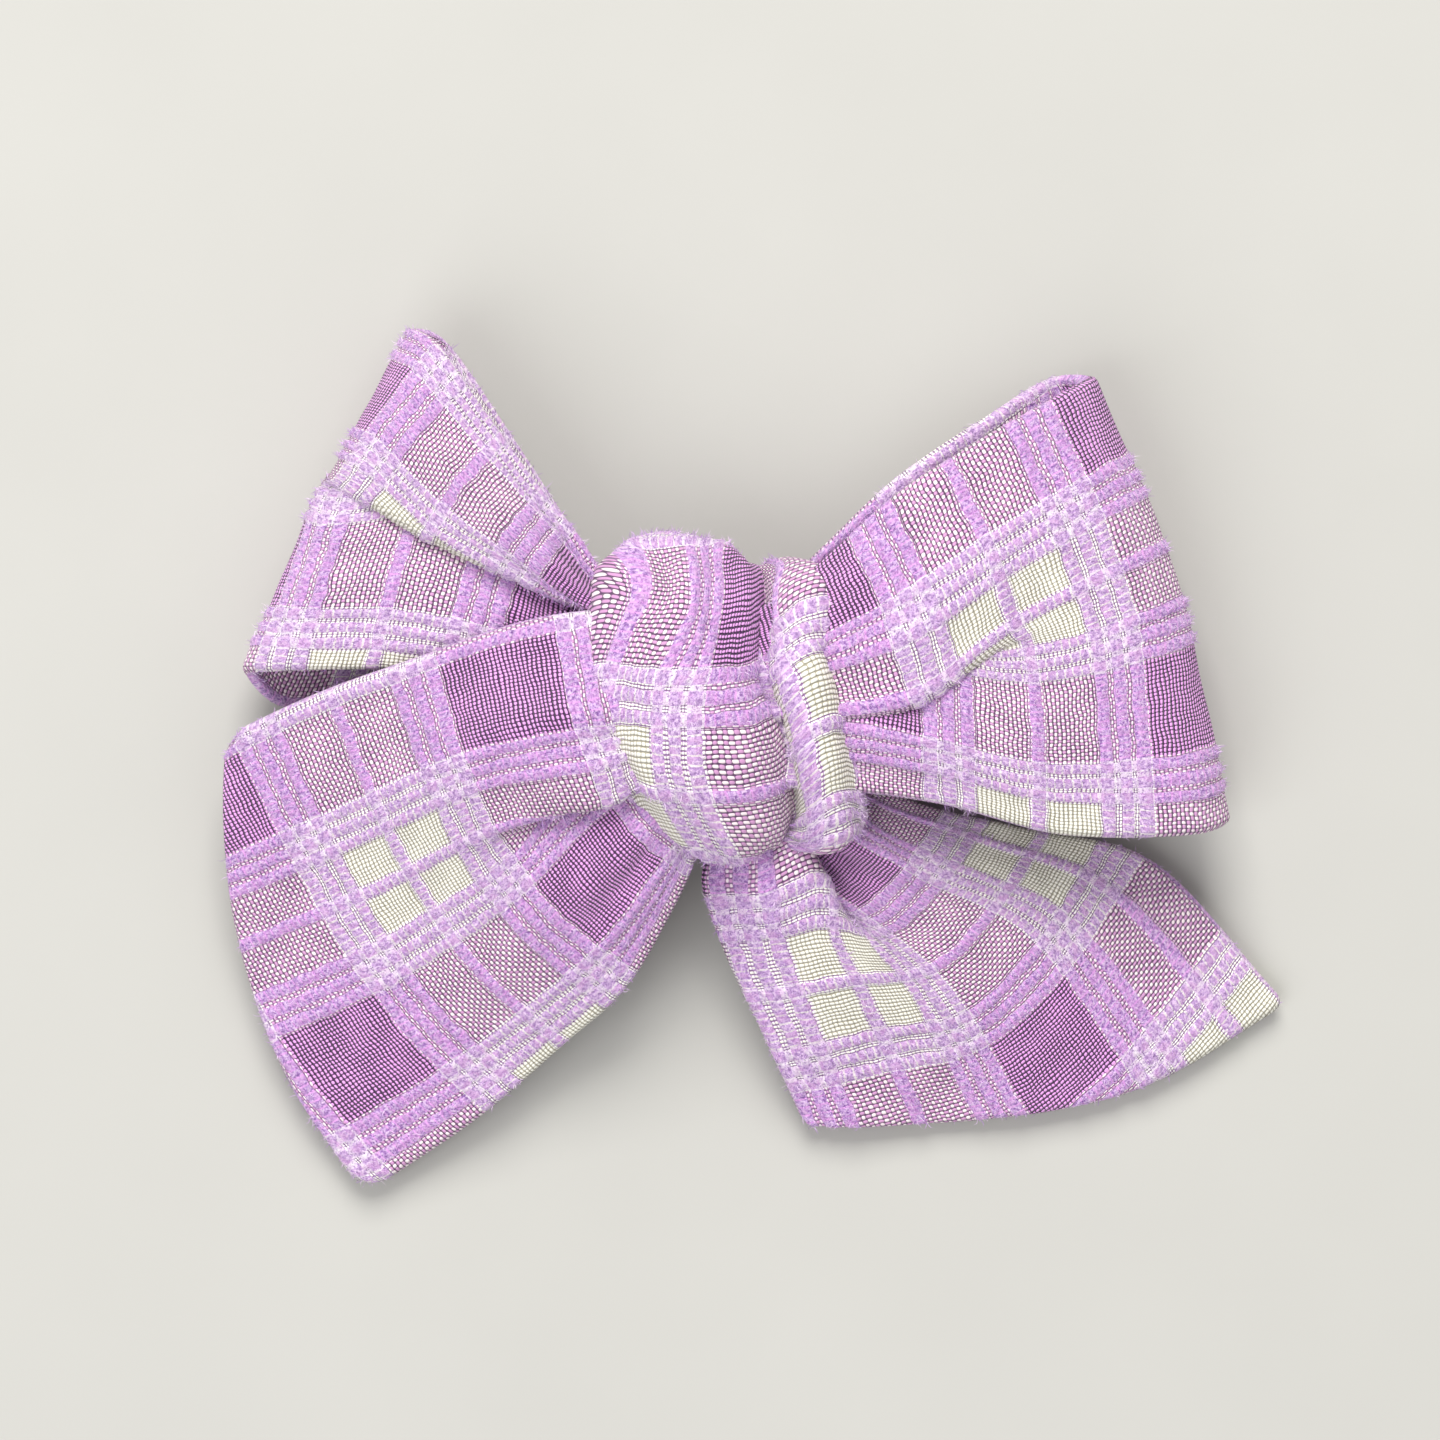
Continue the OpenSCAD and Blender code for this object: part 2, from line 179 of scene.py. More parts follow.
@dataclass(frozen=True)
class Plaid:
    """The sett of the cloth: bands of orchid and cream ground between chenille yarns, in millimetres.

    Along the strip a repeat runs orchid, three chenille yarns, cream, one chenille yarn, cream and
    three chenille yarns, and across it the same with narrower grounds.
    """

    orchid_along: float = 10.8
    orchid_across: float = 9.5
    cream_along: float = 4.8
    cream_across: float = 3.85
    yarn: float = 1.15
    margin: float = 0.25
    line: float = 0.55
    thread: float = 0.41
    fine: float = 0.26
    rib: float = 0.27

    def bands(self, orchid: float, cream: float) -> list[tuple[float, str]]:
        """Lists one repeat of the sett.

        Args:
            orchid: Width of the orchid ground.
            cream: Width of each cream ground.

        Returns:
            Width and kind of each band in turn.
        """
        side, yarn, line = (self.margin, "line"), (self.yarn, "yarn"), (self.line, "line")
        triple = [side, yarn, line, yarn, line, yarn, side]
        single = [side, yarn, side]
        return [(orchid, "orchid"), *triple, (cream, "cream"), *single, (cream, "cream"), *triple]

    def along(self) -> list[tuple[float, str]]:
        """Returns the sett along the strip."""
        return self.bands(self.orchid_along, self.cream_along)

    def across(self) -> list[tuple[float, str]]:
        """Returns the sett across the strip."""
        return self.bands(self.orchid_across, self.cream_across)

    def yarn_height(self, at: np.ndarray, bands: list[tuple[float, str]]) -> np.ndarray:
        """Gives how far a chenille yarn stands at each place across the yarns.

        Args:
            at: Places across the yarns, in millimetres.
            bands: The sett in that direction.

        Returns:
            Heights from 0 off the yarns to 1 on a yarn's crown.
        """
        repeat = sum(width for width, _ in bands)
        place = np.mod(at, repeat)
        height = np.zeros_like(place)
        start = 0.0
        for width, kind in bands:
            if kind == "yarn":
                off = np.abs(place - start - width / 2) / (width / 2)
                height = np.maximum(height, np.sqrt(np.clip(1 - off * off, 0, 1)))
            start += width
        return height

    def relief(self, u: np.ndarray, v: np.ndarray) -> np.ndarray:
        """Gives the height of the chenille over the ground, with its tufts and binding threads.

        Args:
            u: Places along the strip, in millimetres.
            v: Places across the strip.

        Returns:
            Heights in millimetres.
        """
        pitch = 2 * self.thread
        along = self.yarn_height(v, self.across())
        across = self.yarn_height(u, self.along())
        bound_u = 0.72 + 0.28 * np.abs(np.sin(math.pi * u / pitch))
        bound_v = 0.72 + 0.28 * np.abs(np.sin(math.pi * v / pitch))
        tufts = 1 + 0.45 * lattice_noise(u / 0.6, v / 0.6, 11)
        return self.rib * np.maximum(along * bound_u, across * bound_v) * tufts


PLAID = Plaid()


class Graph:
    """Builds the nodes of one material."""

    def __init__(self, name: str) -> None:
        """Starts an empty material with its shader and output.

        Args:
            name: The material's name.
        """
        self.material = bpy.data.materials.new(name)
        self.material.use_nodes = True
        self.tree = self.material.node_tree
        self.tree.nodes.clear()
        self.shader = self.tree.nodes.new("ShaderNodeBsdfPrincipled")
        output = self.tree.nodes.new("ShaderNodeOutputMaterial")
        self.join(self.shader.outputs["BSDF"], output.inputs["Surface"])

    def join(self, source: object, target: bpy.types.NodeSocket) -> None:
        """Links a socket to another, or sets a plain value on it."""
        if isinstance(source, bpy.types.NodeSocket):
            self.tree.links.new(source, target)
        else:
            target.default_value = source

    def math(self, operation: str, a: object, b: object = None, c: object = None) -> bpy.types.NodeSocket:
        """Adds one sum.

        Args:
            operation: Blender's name of the operation.
            a: First value or socket.
            b: Second one, if the operation takes it.
            c: Third one, if the operation takes it.

        Returns:
            The result's socket.
        """
        node = self.tree.nodes.new("ShaderNodeMath")
        node.operation = operation
        for value, target in zip((a, b, c), node.inputs):
            if value is not None:
                self.join(value, target)
        return node.outputs[0]

    def blend(self, share: object, a: object, b: object) -> bpy.types.NodeSocket:
        """Mixes two colours.

        Args:
            share: How much of b, from 0 to 1.
            a: First colour or socket.
            b: Second colour or socket.

        Returns:
            The mixed colour's socket.
        """
        node = self.tree.nodes.new("ShaderNodeMix")
        node.data_type = "RGBA"
        self.join(share, node.inputs[0])
        self.join(a, node.inputs[6])
        self.join(b, node.inputs[7])
        return node.outputs[2]

    def ramp(self, value: object, stops: list[tuple[float, tuple]], steps: bool = False) -> bpy.types.Node:
        """Turns a value into a colour.

        Args:
            value: The socket that runs from 0 to 1.
            stops: Positions and colours.
            steps: True if a colour holds until the next one.

        Returns:
            The ramp's node.
        """
        node = self.tree.nodes.new("ShaderNodeValToRGB")
        ramp = node.color_ramp
        ramp.interpolation = "CONSTANT" if steps else "LINEAR"
        while len(ramp.elements) < len(stops):
            ramp.elements.new(1.0)
        for element, (place, colour) in zip(ramp.elements, stops):
            element.position = place
            element.color = (*colour[:3], 1.0)
        self.join(value, node.inputs[0])
        return node

    def noise(self, vector: object, scale: float, detail: float = 2.0,
              rough: float = 0.5) -> bpy.types.NodeSocket:
        """Adds a noise texture.

        Args:
            vector: Where it is read.
            scale: Its features to a unit.
            detail: Octaves of finer noise.
            rough: Strength of each finer octave.

        Returns:
            The value's socket.
        """
        node = self.tree.nodes.new("ShaderNodeTexNoise")
        if vector is not None:
            self.join(vector, node.inputs["Vector"])
        node.inputs["Scale"].default_value = scale
        node.inputs["Detail"].default_value = detail
        node.inputs["Roughness"].default_value = rough
        return node.outputs["Fac"]

    def place(self, x: object, y: object, z: object = 0.0) -> bpy.types.NodeSocket:
        """Puts three values together as a vector."""
        node = self.tree.nodes.new("ShaderNodeCombineXYZ")
        for value, target in zip((x, y, z), node.inputs):
            self.join(value, target)
        return node.outputs[0]

    def split(self, vector: object, colour: bool = False) -> list[bpy.types.NodeSocket]:
        """Takes a vector or a colour apart."""
        node = self.tree.nodes.new("ShaderNodeSeparateColor" if colour else "ShaderNodeSeparateXYZ")
        self.join(vector, node.inputs[0])
        return list(node.outputs)

    def uv(self) -> bpy.types.NodeSocket:
        """Returns the piece's own UV map."""
        node = self.tree.nodes.new("ShaderNodeUVMap")
        node.uv_map = "UVMap"
        return node.outputs[0]

    def object_place(self) -> bpy.types.NodeSocket:
        """Returns the place on the object."""
        return self.tree.nodes.new("ShaderNodeTexCoord").outputs["Object"]

    def bump(self, height: object, distance: float, strength: float = 1.0) -> None:
        """Raises the shader's surface by a height.

        Args:
            height: The height's socket.
            distance: How high 1 stands, in metres.
            strength: Share of the effect.
        """
        node = self.tree.nodes.new("ShaderNodeBump")
        node.inputs["Strength"].default_value = strength
        node.inputs["Distance"].default_value = distance
        self.join(height, node.inputs["Height"])
        self.join(node.outputs[0], self.shader.inputs["Normal"])


def linear(red: int, green: int, blue: int) -> tuple[float, float, float, float]:
    """Turns a display colour into the light it stands for.

    Args:
        red: From 0 to 255.
        green: From 0 to 255.
        blue: From 0 to 255.

    Returns:
        Linear red, green and blue, and an alpha of 1.
    """
    def channel(value: int) -> float:
        """Returns one channel."""
        share = value / 255
        return share / 12.92 if share <= 0.04045 else ((share + 0.055) / 1.055) ** 2.4
    return (channel(red), channel(green), channel(blue), 1.0)


@dataclass(frozen=True)
class PlaidFinish:
    """The woven cloth: plain-weave grounds of two thread colours under bound chenille yarns, with painted
    shade in the gaps between the threads.
    """

    orchid: tuple = linear(237, 168, 237)
    # Tone of orchid threads sunk between cream ones: partly their own deeper colour, partly painted shade
    orchid_deep_shaded: tuple = linear(206, 152, 198)
    cream: tuple = linear(246, 244, 232)
    blush: tuple = linear(247, 228, 237)
    white: tuple = linear(252, 247, 247)
    # The four gap colours below are painted shade: the dark seen between the threads where they cross
    plum_gap_shade: tuple = linear(70, 4, 80)
    maroon_gap_shade: tuple = linear(104, 66, 108)
    olive_gap_shade: tuple = linear(188, 181, 160)
    line_gap_shade: tuple = linear(166, 118, 178)
    # Pile tones: the dark one is partly painted shade in the hollows of the pile, the light one partly a
    # painted highlight on its tufts
    pile_dark_shade: tuple = linear(124, 78, 154)
    pile_mid: tuple = linear(191, 150, 210)
    pile_light_highlight: tuple = linear(235, 208, 238)
    pile_pink: tuple = linear(212, 146, 210)
    roughness: float = 0.82
    sheen: float = 0.35

    def masks(self, g: Graph, at: object, bands: list[tuple[float, str]]) -> list[bpy.types.NodeSocket]:
        """Reads the sett in one direction.

        Args:
            g: The material.
            at: Place across the bands, in millimetres.
            bands: The sett in that direction.

        Returns:
            Sockets that are 1 on orchid, on a yarn and on a line.
        """
        codes = {"orchid": (1, 0, 0), "cream": (0, 0, 0), "yarn": (0, 1, 0), "line": (0, 0, 1)}
        repeat = sum(width for width, _ in bands)
        start = 0.0
        stops = []
        for width, kind in bands:
            stops.append((start / repeat, codes[kind]))
            start += width
        place = g.math("FRACT", g.math("DIVIDE", at, repeat))
        return g.split(g.ramp(place, stops, steps=True).outputs[0], colour=True)[:3]

    def threads(self, g: Graph, at: object, line: object) -> bpy.types.NodeSocket:
        """Counts threads along a direction; they run finer on the lines between the yarns."""
        finer = 1 / PLAID.fine - 1 / PLAID.thread
        return g.math("MULTIPLY", at, g.math("MULTIPLY_ADD", line, finer, 1 / PLAID.thread))

    def thread_colour(self, g: Graph, orchid: object, line: object) -> bpy.types.NodeSocket:
        """Returns the colour of the threads in one direction."""
        return g.blend(line, g.blend(orchid, self.cream, self.orchid), self.white)

    def build(self, name: str) -> bpy.types.Material:
        """Makes the material.

        Args:
            name: Its name.

        Returns:
            The material.
        """
        g = Graph(name)
        raw = g.split(g.uv())
        scaled = [g.math("DIVIDE", raw[k], UV_SCALE) for k in (0, 1)]
        flat = g.place(*scaled)
        drift = [g.math("MULTIPLY", g.math("SUBTRACT", g.noise(g.place(*scaled, z), 0.45, 1.0), 0.5), 0.5)
                 for z in (0.0, 9.0)]
        u, v = (g.math("ADD", scaled[k], drift[k]) for k in (0, 1))
        orchid_u, yarn_u, line_u = self.masks(g, u, PLAID.along())
        orchid_v, yarn_v, line_v = self.masks(g, v, PLAID.across())
        colour_u = self.thread_colour(g, orchid_u, line_u)
        colour_v = self.thread_colour(g, orchid_v, line_v)

        # Plain weave: each crossing shows the thread on top as a short rounded stitch, darkened towards its
        # edges into a gap colour; that darkening and the gap colours are painted shade between the threads
        x, y = (self.threads(g, at, line) for at, line in ((u, line_u), (v, line_v)))
        turn = g.math("MULTIPLY", g.math("SINE", g.math("MULTIPLY", x, math.pi)),
                      g.math("SINE", g.math("MULTIPLY", y, math.pi)))
        v_on_top = g.math("GREATER_THAN", turn, 0.0)
        off = [g.math("MULTIPLY", g.math("ABSOLUTE", g.math("SUBTRACT", g.math("FRACT", at), 0.5)), 2.0)
               for at in (x, y)]
        region = g.noise(flat, 0.16, 2.0)
        share_u = g.math("MULTIPLY_ADD", v_on_top, -0.3, g.math("MULTIPLY_ADD", region, 0.5, 0.8))
        share_v = g.math("MULTIPLY_ADD", v_on_top, 0.4, g.math("MULTIPLY_ADD", region, -0.5, 0.56))
        dark = g.math("ADD", g.math("MULTIPLY", g.math("POWER", off[0], 2.6), share_u),
                      g.math("MULTIPLY", g.math("POWER", off[1], 2.6), share_v))
        openness = g.math("MULTIPLY_ADD", g.noise(g.place(*scaled, 30.0), 0.3, 1.0), 0.9, 0.62)
        dark = g.math("MULTIPLY", dark, openness)
        mixed = g.math("ABSOLUTE", g.math("SUBTRACT", orchid_u, orchid_v))
        top_orchid = g.math("ADD", g.math("MULTIPLY", orchid_v, v_on_top),
                            g.math("MULTIPLY", orchid_u, g.math("SUBTRACT", 1.0, v_on_top)))
        sunk = g.math("MULTIPLY", mixed, top_orchid)
        either = g.math("MAXIMUM", orchid_u, orchid_v)
        both = g.math("MULTIPLY", orchid_u, orchid_v)
        dark = g.math("MULTIPLY", dark, g.math("MULTIPLY_ADD", mixed, -0.12, 1.08))
        dark = g.math("MULTIPLY", dark, g.math("MULTIPLY_ADD", both, 0.42, 1.0))
        cover = g.tree.nodes.new("ShaderNodeMapRange")
        cover.interpolation_type = "SMOOTHSTEP"
        g.join(dark, cover.inputs[0])
        cover.inputs[1].default_value = 0.32
        cover.inputs[2].default_value = 0.58
        top = g.blend(v_on_top, colour_u, colour_v)
        top = g.blend(g.math("MULTIPLY", mixed, 0.8), top, self.blush)
        # Where an orchid thread on top lies sunk between cream ones it is drawn deeper: partly its own tone,
        # partly painted shade
        top = g.blend(sunk, top, self.orchid_deep_shaded)
        # Painted shade in the gaps between threads: plum between orchid threads, maroon where orchid meets
        # cream, olive between cream ones, lilac on the lines
        gap_shade = g.blend(both, g.blend(either, self.olive_gap_shade, self.maroon_gap_shade), self.plum_gap_shade)
        lines = g.math("MAXIMUM", line_u, line_v)
        on_line = g.math("MULTIPLY", lines, g.math("SUBTRACT", 1.0, g.math("MULTIPLY", either, 0.4)))
        gap_shade = g.blend(on_line, gap_shade, self.line_gap_shade)
        ground = g.blend(cover.outputs[0], top, gap_shade)
        stitch = g.math("SUBTRACT", 1.0, dark)

        # Chenille: mottled pile, lighter where the same noise raises its tufts and darker where it sinks
        # them, so partly random fibre tone and partly painted highlight and painted shade; crossed by binding
        # threads that half sink into it
        mottle = g.noise(flat, 2.9, 3.0, 0.8)
        broad = g.noise(flat, 0.22, 2.0)
        tones = [(0.39, self.pile_dark_shade), (0.49, self.pile_mid), (0.59, self.pile_light_highlight)]
        pile = g.ramp(mottle, tones).outputs[0]
        pile = g.blend(g.math("MULTIPLY", g.math("GREATER_THAN", g.noise(flat, 0.9, 1.0), 0.54), 0.4), pile,
                       self.pile_pink)
        pile = g.blend(g.math("MULTIPLY", broad, 0.3), pile, self.pile_mid)
        bound = []
        for at, other_yarn, other_line in ((u, yarn_u, line_u), (v, yarn_v, line_v)):
            pair = g.math("FRACT", g.math("DIVIDE", at, 2 * PLAID.thread))
            swing = g.math("ABSOLUTE", g.math("SUBTRACT", pair, 0.5))
            near = g.math("GREATER_THAN", g.math("ADD", swing, g.math("MULTIPLY", mottle, 0.12)), 0.45)
            near = g.math("MULTIPLY", near, g.math("SUBTRACT", 1.0, other_yarn))
            near = g.math("MAXIMUM", g.math("MULTIPLY", near, 0.66), g.math("MULTIPLY", other_line, 0.4))
            bound.append(g.math("MULTIPLY", near, g.math("GREATER_THAN", mottle, 0.42)))
        pale = [g.math("MULTIPLY", g.math("SUBTRACT", 1.0, one), 0.12) for one in (orchid_u, orchid_v)]
        yarn_along = g.blend(bound[0], g.blend(pale[0], pile, self.blush), colour_u)
        yarn_across = g.blend(bound[1], g.blend(pale[1], pile, self.blush), colour_v)
        cloth = g.blend(yarn_v, g.blend(yarn_u, ground, yarn_across), yarn_along)
        g.join(cloth, g.shader.inputs["Base Color"])

        chenille = g.math("MAXIMUM", yarn_u, yarn_v)
        rough_pile = g.math("MULTIPLY", chenille, g.math("MULTIPLY", mottle, 1.8))
        height = g.math("ADD", rough_pile, g.math("MULTIPLY", stitch, g.math("SUBTRACT", 1.0, chenille)))
        g.bump(height, 0.0002, 0.85)
        g.shader.inputs["Roughness"].default_value = self.roughness
        g.shader.inputs["Sheen Weight"].default_value = self.sheen
        g.shader.inputs["Sheen Roughness"].default_value = 0.5
        g.shader.inputs["Specular IOR Level"].default_value = 0.25
        return g.material


@dataclass(frozen=True)
class PileFinish:
    """The loose fibres of the chenille."""

    tones: tuple = (linear(160, 114, 188), linear(206, 168, 222), linear(244, 226, 246))

    def build(self, name: str) -> bpy.types.Material:
        """Makes the material; each fibre's UV picks its tone.

        Args:
            name: Its name.

        Returns:
            The material.
        """
        g = Graph(name)
        pick = g.split(g.uv())[0]
        tone = g.ramp(pick, [(0.0, self.tones[0]), (0.5, self.tones[1]), (1.0, self.tones[2])]).outputs[0]
        g.join(tone, g.shader.inputs["Base Color"])
        g.shader.inputs["Roughness"].default_value = 0.7
        g.shader.inputs["Sheen Weight"].default_value = 0.3
        return g.material


@dataclass(frozen=True)
class MetalFinish:
    """Plated or bare steel with fine handling scratches."""

    colour: tuple
    rough_low: float
    rough_high: float

    def build(self, name: str) -> bpy.types.Material:
        """Makes the material.

        Args:
            name: Its name.

        Returns:
            The material.
        """
        g = Graph(name)
        at = g.split(g.object_place())
        stretched = g.place(g.math("MULTIPLY", at[0], 120.0), g.math("MULTIPLY", at[1], 1500.0),
                            g.math("MULTIPLY", at[2], 1500.0))
        scratch = g.noise(stretched, 1.0, 4.0, 0.7)
        cloud = g.noise(g.object_place(), 260.0, 3.0)
        duller = (*(0.72 * channel for channel in self.colour[:3]), 1.0)
        tone = g.blend(g.math("MULTIPLY", cloud, 0.5), self.colour, duller)
        g.join(tone, g.shader.inputs["Base Color"])
        g.shader.inputs["Metallic"].default_value = 1.0
        spread = g.math("MULTIPLY_ADD", scratch, self.rough_high - self.rough_low, self.rough_low)
        g.join(spread, g.shader.inputs["Roughness"])
        g.bump(scratch, 0.00002, 0.4)
        return g.material


@dataclass(frozen=True)
class RibbonFinish:
    """Grosgrain ribbon: fine ribs across it, crossed by close warp threads, with painted shade in the grooves
    between them.
    """

    colour: tuple = linear(226, 204, 236)
    # The darker tone is painted shade, used in the grooves between ribs and threads
    shade: tuple = linear(178, 148, 196)
    rib: float = 0.62

    def build(self, name: str) -> bpy.types.Material:
        """Makes the material; its UV holds the place along and across the ribbon.

        Args:
            name: Its name.

        Returns:
            The material.
        """
        g = Graph(name)
        raw = g.split(g.uv())
        u, v = (g.math("DIVIDE", raw[k], UV_SCALE) for k in (0, 1))
        rib = g.math("ABSOLUTE", g.math("SINE", g.math("MULTIPLY", u, math.pi / self.rib)))
        warp = g.math("ABSOLUTE", g.math("SINE", g.math("MULTIPLY", v, math.pi / 0.2)))
        weave = g.math("MULTIPLY", g.math("POWER", rib, 0.6), g.math("MULTIPLY_ADD", warp, 0.3, 0.7))
        blotch = g.noise(g.place(u, v), 0.5, 3.0)
        share = g.math("MULTIPLY", weave, g.math("MULTIPLY_ADD", blotch, 0.3, 0.8))
        # The ribbon is drawn darker where its bump is lower, in the grooves between ribs and threads: painted
        # shade
        tone = g.blend(share, self.shade, self.colour)
        g.join(tone, g.shader.inputs["Base Color"])
        g.bump(weave, 0.00008, 0.8)
        g.shader.inputs["Roughness"].default_value = 0.55
        g.shader.inputs["Sheen Weight"].default_value = 0.2
        return g.material


@dataclass(frozen=True)
class PlainFinish:
    """A cloudy, slightly uneven finish for glue, floss and the floor."""

    colour: tuple
    shade: tuple
    scale: float
    roughness: float
    bump_height: float = 0.0

    def build(self, name: str) -> bpy.types.Material:
        """Makes the material.

        Args:
            name: Its name.

        Returns:
            The material.
        """
        g = Graph(name)
        cloud = g.noise(g.object_place(), self.scale, 3.0)
        g.join(g.blend(cloud, self.shade, self.colour), g.shader.inputs["Base Color"])
        g.shader.inputs["Roughness"].default_value = self.roughness
        if self.bump_height:
            g.bump(cloud, self.bump_height)
        return g.material


# ---------------------------------------------------------------- meshes from grids


def mesh_piece(name: str, points: np.ndarray, faces: np.ndarray, uv: np.ndarray,
               material: bpy.types.Material) -> bpy.types.Object:
    """Makes an object of four-sided and three-sided faces.

    Args:
        name: The object's name.
        points: Places in millimetres, one a row.
        faces: Corner numbers, four a row; a triangle repeats its last corner.
        uv: Place on the cloth of each face corner, in millimetres, four a face.
        material: Its finish.

    Returns:
        The new object.
    """
    triangle = faces[:, 2] == faces[:, 3]
    sizes = np.where(triangle, 3, 4)
    keep = np.ones(faces.shape, bool)
    keep[triangle, 3] = False
    mesh = bpy.data.meshes.new(name)
    mesh.vertices.add(len(points))
    mesh.vertices.foreach_set("co", (points * MM).astype(np.float32).ravel())
    mesh.loops.add(int(sizes.sum()))
    mesh.loops.foreach_set("vertex_index", faces[keep].astype(np.int32))
    mesh.polygons.add(len(faces))
    mesh.polygons.foreach_set("loop_start", np.concatenate([[0], np.cumsum(sizes)[:-1]]).astype(np.int32))
    mesh.update(calc_edges=True)
    layer = mesh.uv_layers.new(name="UVMap")
    layer.data.foreach_set("uv", (uv[keep] * UV_SCALE).astype(np.float32).ravel())
    mesh.validate()
    mesh.shade_smooth()
    mesh.materials.append(material)
    piece = bpy.data.objects.new(name, mesh)
    bpy.context.scene.collection.objects.link(piece)
    return piece


def grid_normals(place: np.ndarray, closed: bool) -> np.ndarray:
    """Gives the unit normals of a grid of points.

    Args:
        place: Rows by columns by three.
        closed: True if the last row is the first one again.

    Returns:
        Normals of the same shape.
    """
    along = np.gradient(place, axis=0)
    if closed:
        along[0] = along[-1] = (place[1] - place[-2]) / 2
    across = np.gradient(place, axis=1)
    normal = np.cross(along, across)
    return normal / np.maximum(np.linalg.norm(normal, axis=2, keepdims=True), 1e-9)


@dataclass
class Cloth:
    """A sheet of cloth as a grid: its place, its place on the flat cloth, and its two faces.

    Attributes:
        place: Rows by columns by three, in millimetres.
        flat: Rows by columns by two, in millimetres.
        thickness: Of both plies together.
        edge: How far the edges round off.
        closed: True if the rows run round a ring.
        back_shift: Place of the pattern on the back face, across the strip.
        round_ends: True if the first and the last row round off too.
    """

    place: np.ndarray
    flat: np.ndarray
    thickness: float
    edge: float = 0.9
    closed: bool = False
    back_shift: float = 7.0
    round_ends: bool = True
    sides: list = field(default_factory=list)

    def half(self) -> np.ndarray:
        """Returns half the thickness at each point, falling to nothing at the edges."""
        across = np.linalg.norm(np.diff(self.place, axis=1), axis=2)
        run = np.concatenate([np.zeros((len(across), 1)), np.cumsum(across, axis=1)], axis=1)
        reach = np.minimum(run, run[:, -1:] - run)
        if not self.closed and self.round_ends:
            along = np.linalg.norm(np.diff(self.place, axis=0), axis=2)
            climb = np.concatenate([np.zeros((1, along.shape[1])), np.cumsum(along, axis=0)], axis=0)
            reach = np.minimum(reach, np.minimum(climb, climb[-1:] - climb))
        share = np.clip(reach / self.edge, 0, 1)
        return self.thickness / 2 * np.sqrt(1 - (1 - share) ** 2)

    def build(self, name: str, material: bpy.types.Material, relief: bool = True) -> bpy.types.Object:
        """Makes the closed two-faced mesh.

        Args:
            name: The object's name.
            material: Its finish.
            relief: True if the chenille stands out of the cloth.

        Returns:
            The new object.
        """
        normal = grid_normals(self.place, self.closed)
        half = self.half()
        fade = half / (self.thickness / 2)
        self.sides = []
        for sign in (1, -1):
            flat = self.flat if sign > 0 else self.flat * [1, -1] + [0, self.back_shift]
            rise = PLAID.relief(flat[..., 0], flat[..., 1]) * fade if relief else 0.0
            self.sides.append((self.place + sign * normal * (half + rise)[..., None], flat, sign * normal))
        rows, columns = half.shape
        number = np.arange(rows * columns).reshape(rows, columns)
        under = number + rows * columns
        under[:, 0], under[:, -1] = number[:, 0], number[:, -1]
        if self.closed:
            number[-1], under[-1] = number[0], under[0]
        else:
            under[0], under[-1] = number[0], number[-1]
        faces, uvs = [], []
        for which, index in ((0, number), (1, under)):
            corner = [(slice(0, -1), slice(0, -1)), (slice(0, -1), slice(1, None)),
                      (slice(1, None), slice(1, None)), (slice(1, None), slice(0, -1))]
            if which == 0:
                corner = corner[::-1]
            faces.append(np.stack([index[c].ravel() for c in corner], axis=1))
            flat = self.sides[which][1]
            uvs.append(np.stack([flat[c].reshape(-1, 2) for c in corner], axis=1))
        points = np.vstack([side[0].reshape(-1, 3) for side in self.sides])
        faces, uvs = np.vstack(faces), np.vstack(uvs)
        used, faces_flat = np.unique(faces, return_inverse=True)
        return mesh_piece(name, points[used], faces_flat.reshape(faces.shape), uvs, material)

    def area(self) -> float:
        """Returns the sheet's area in square metres."""
        along = np.linalg.norm(np.diff(self.place, axis=0), axis=2)
        across = np.linalg.norm(np.diff(self.place, axis=1), axis=2)
        return float((along[:, :-1] * across[:-1]).sum()) * MM * MM

    def run(self) -> float:
        """Returns the sheet's length along its run in metres, averaged over its width."""
        return float(np.linalg.norm(np.diff(self.place, axis=0), axis=2).sum(axis=0).mean()) * MM


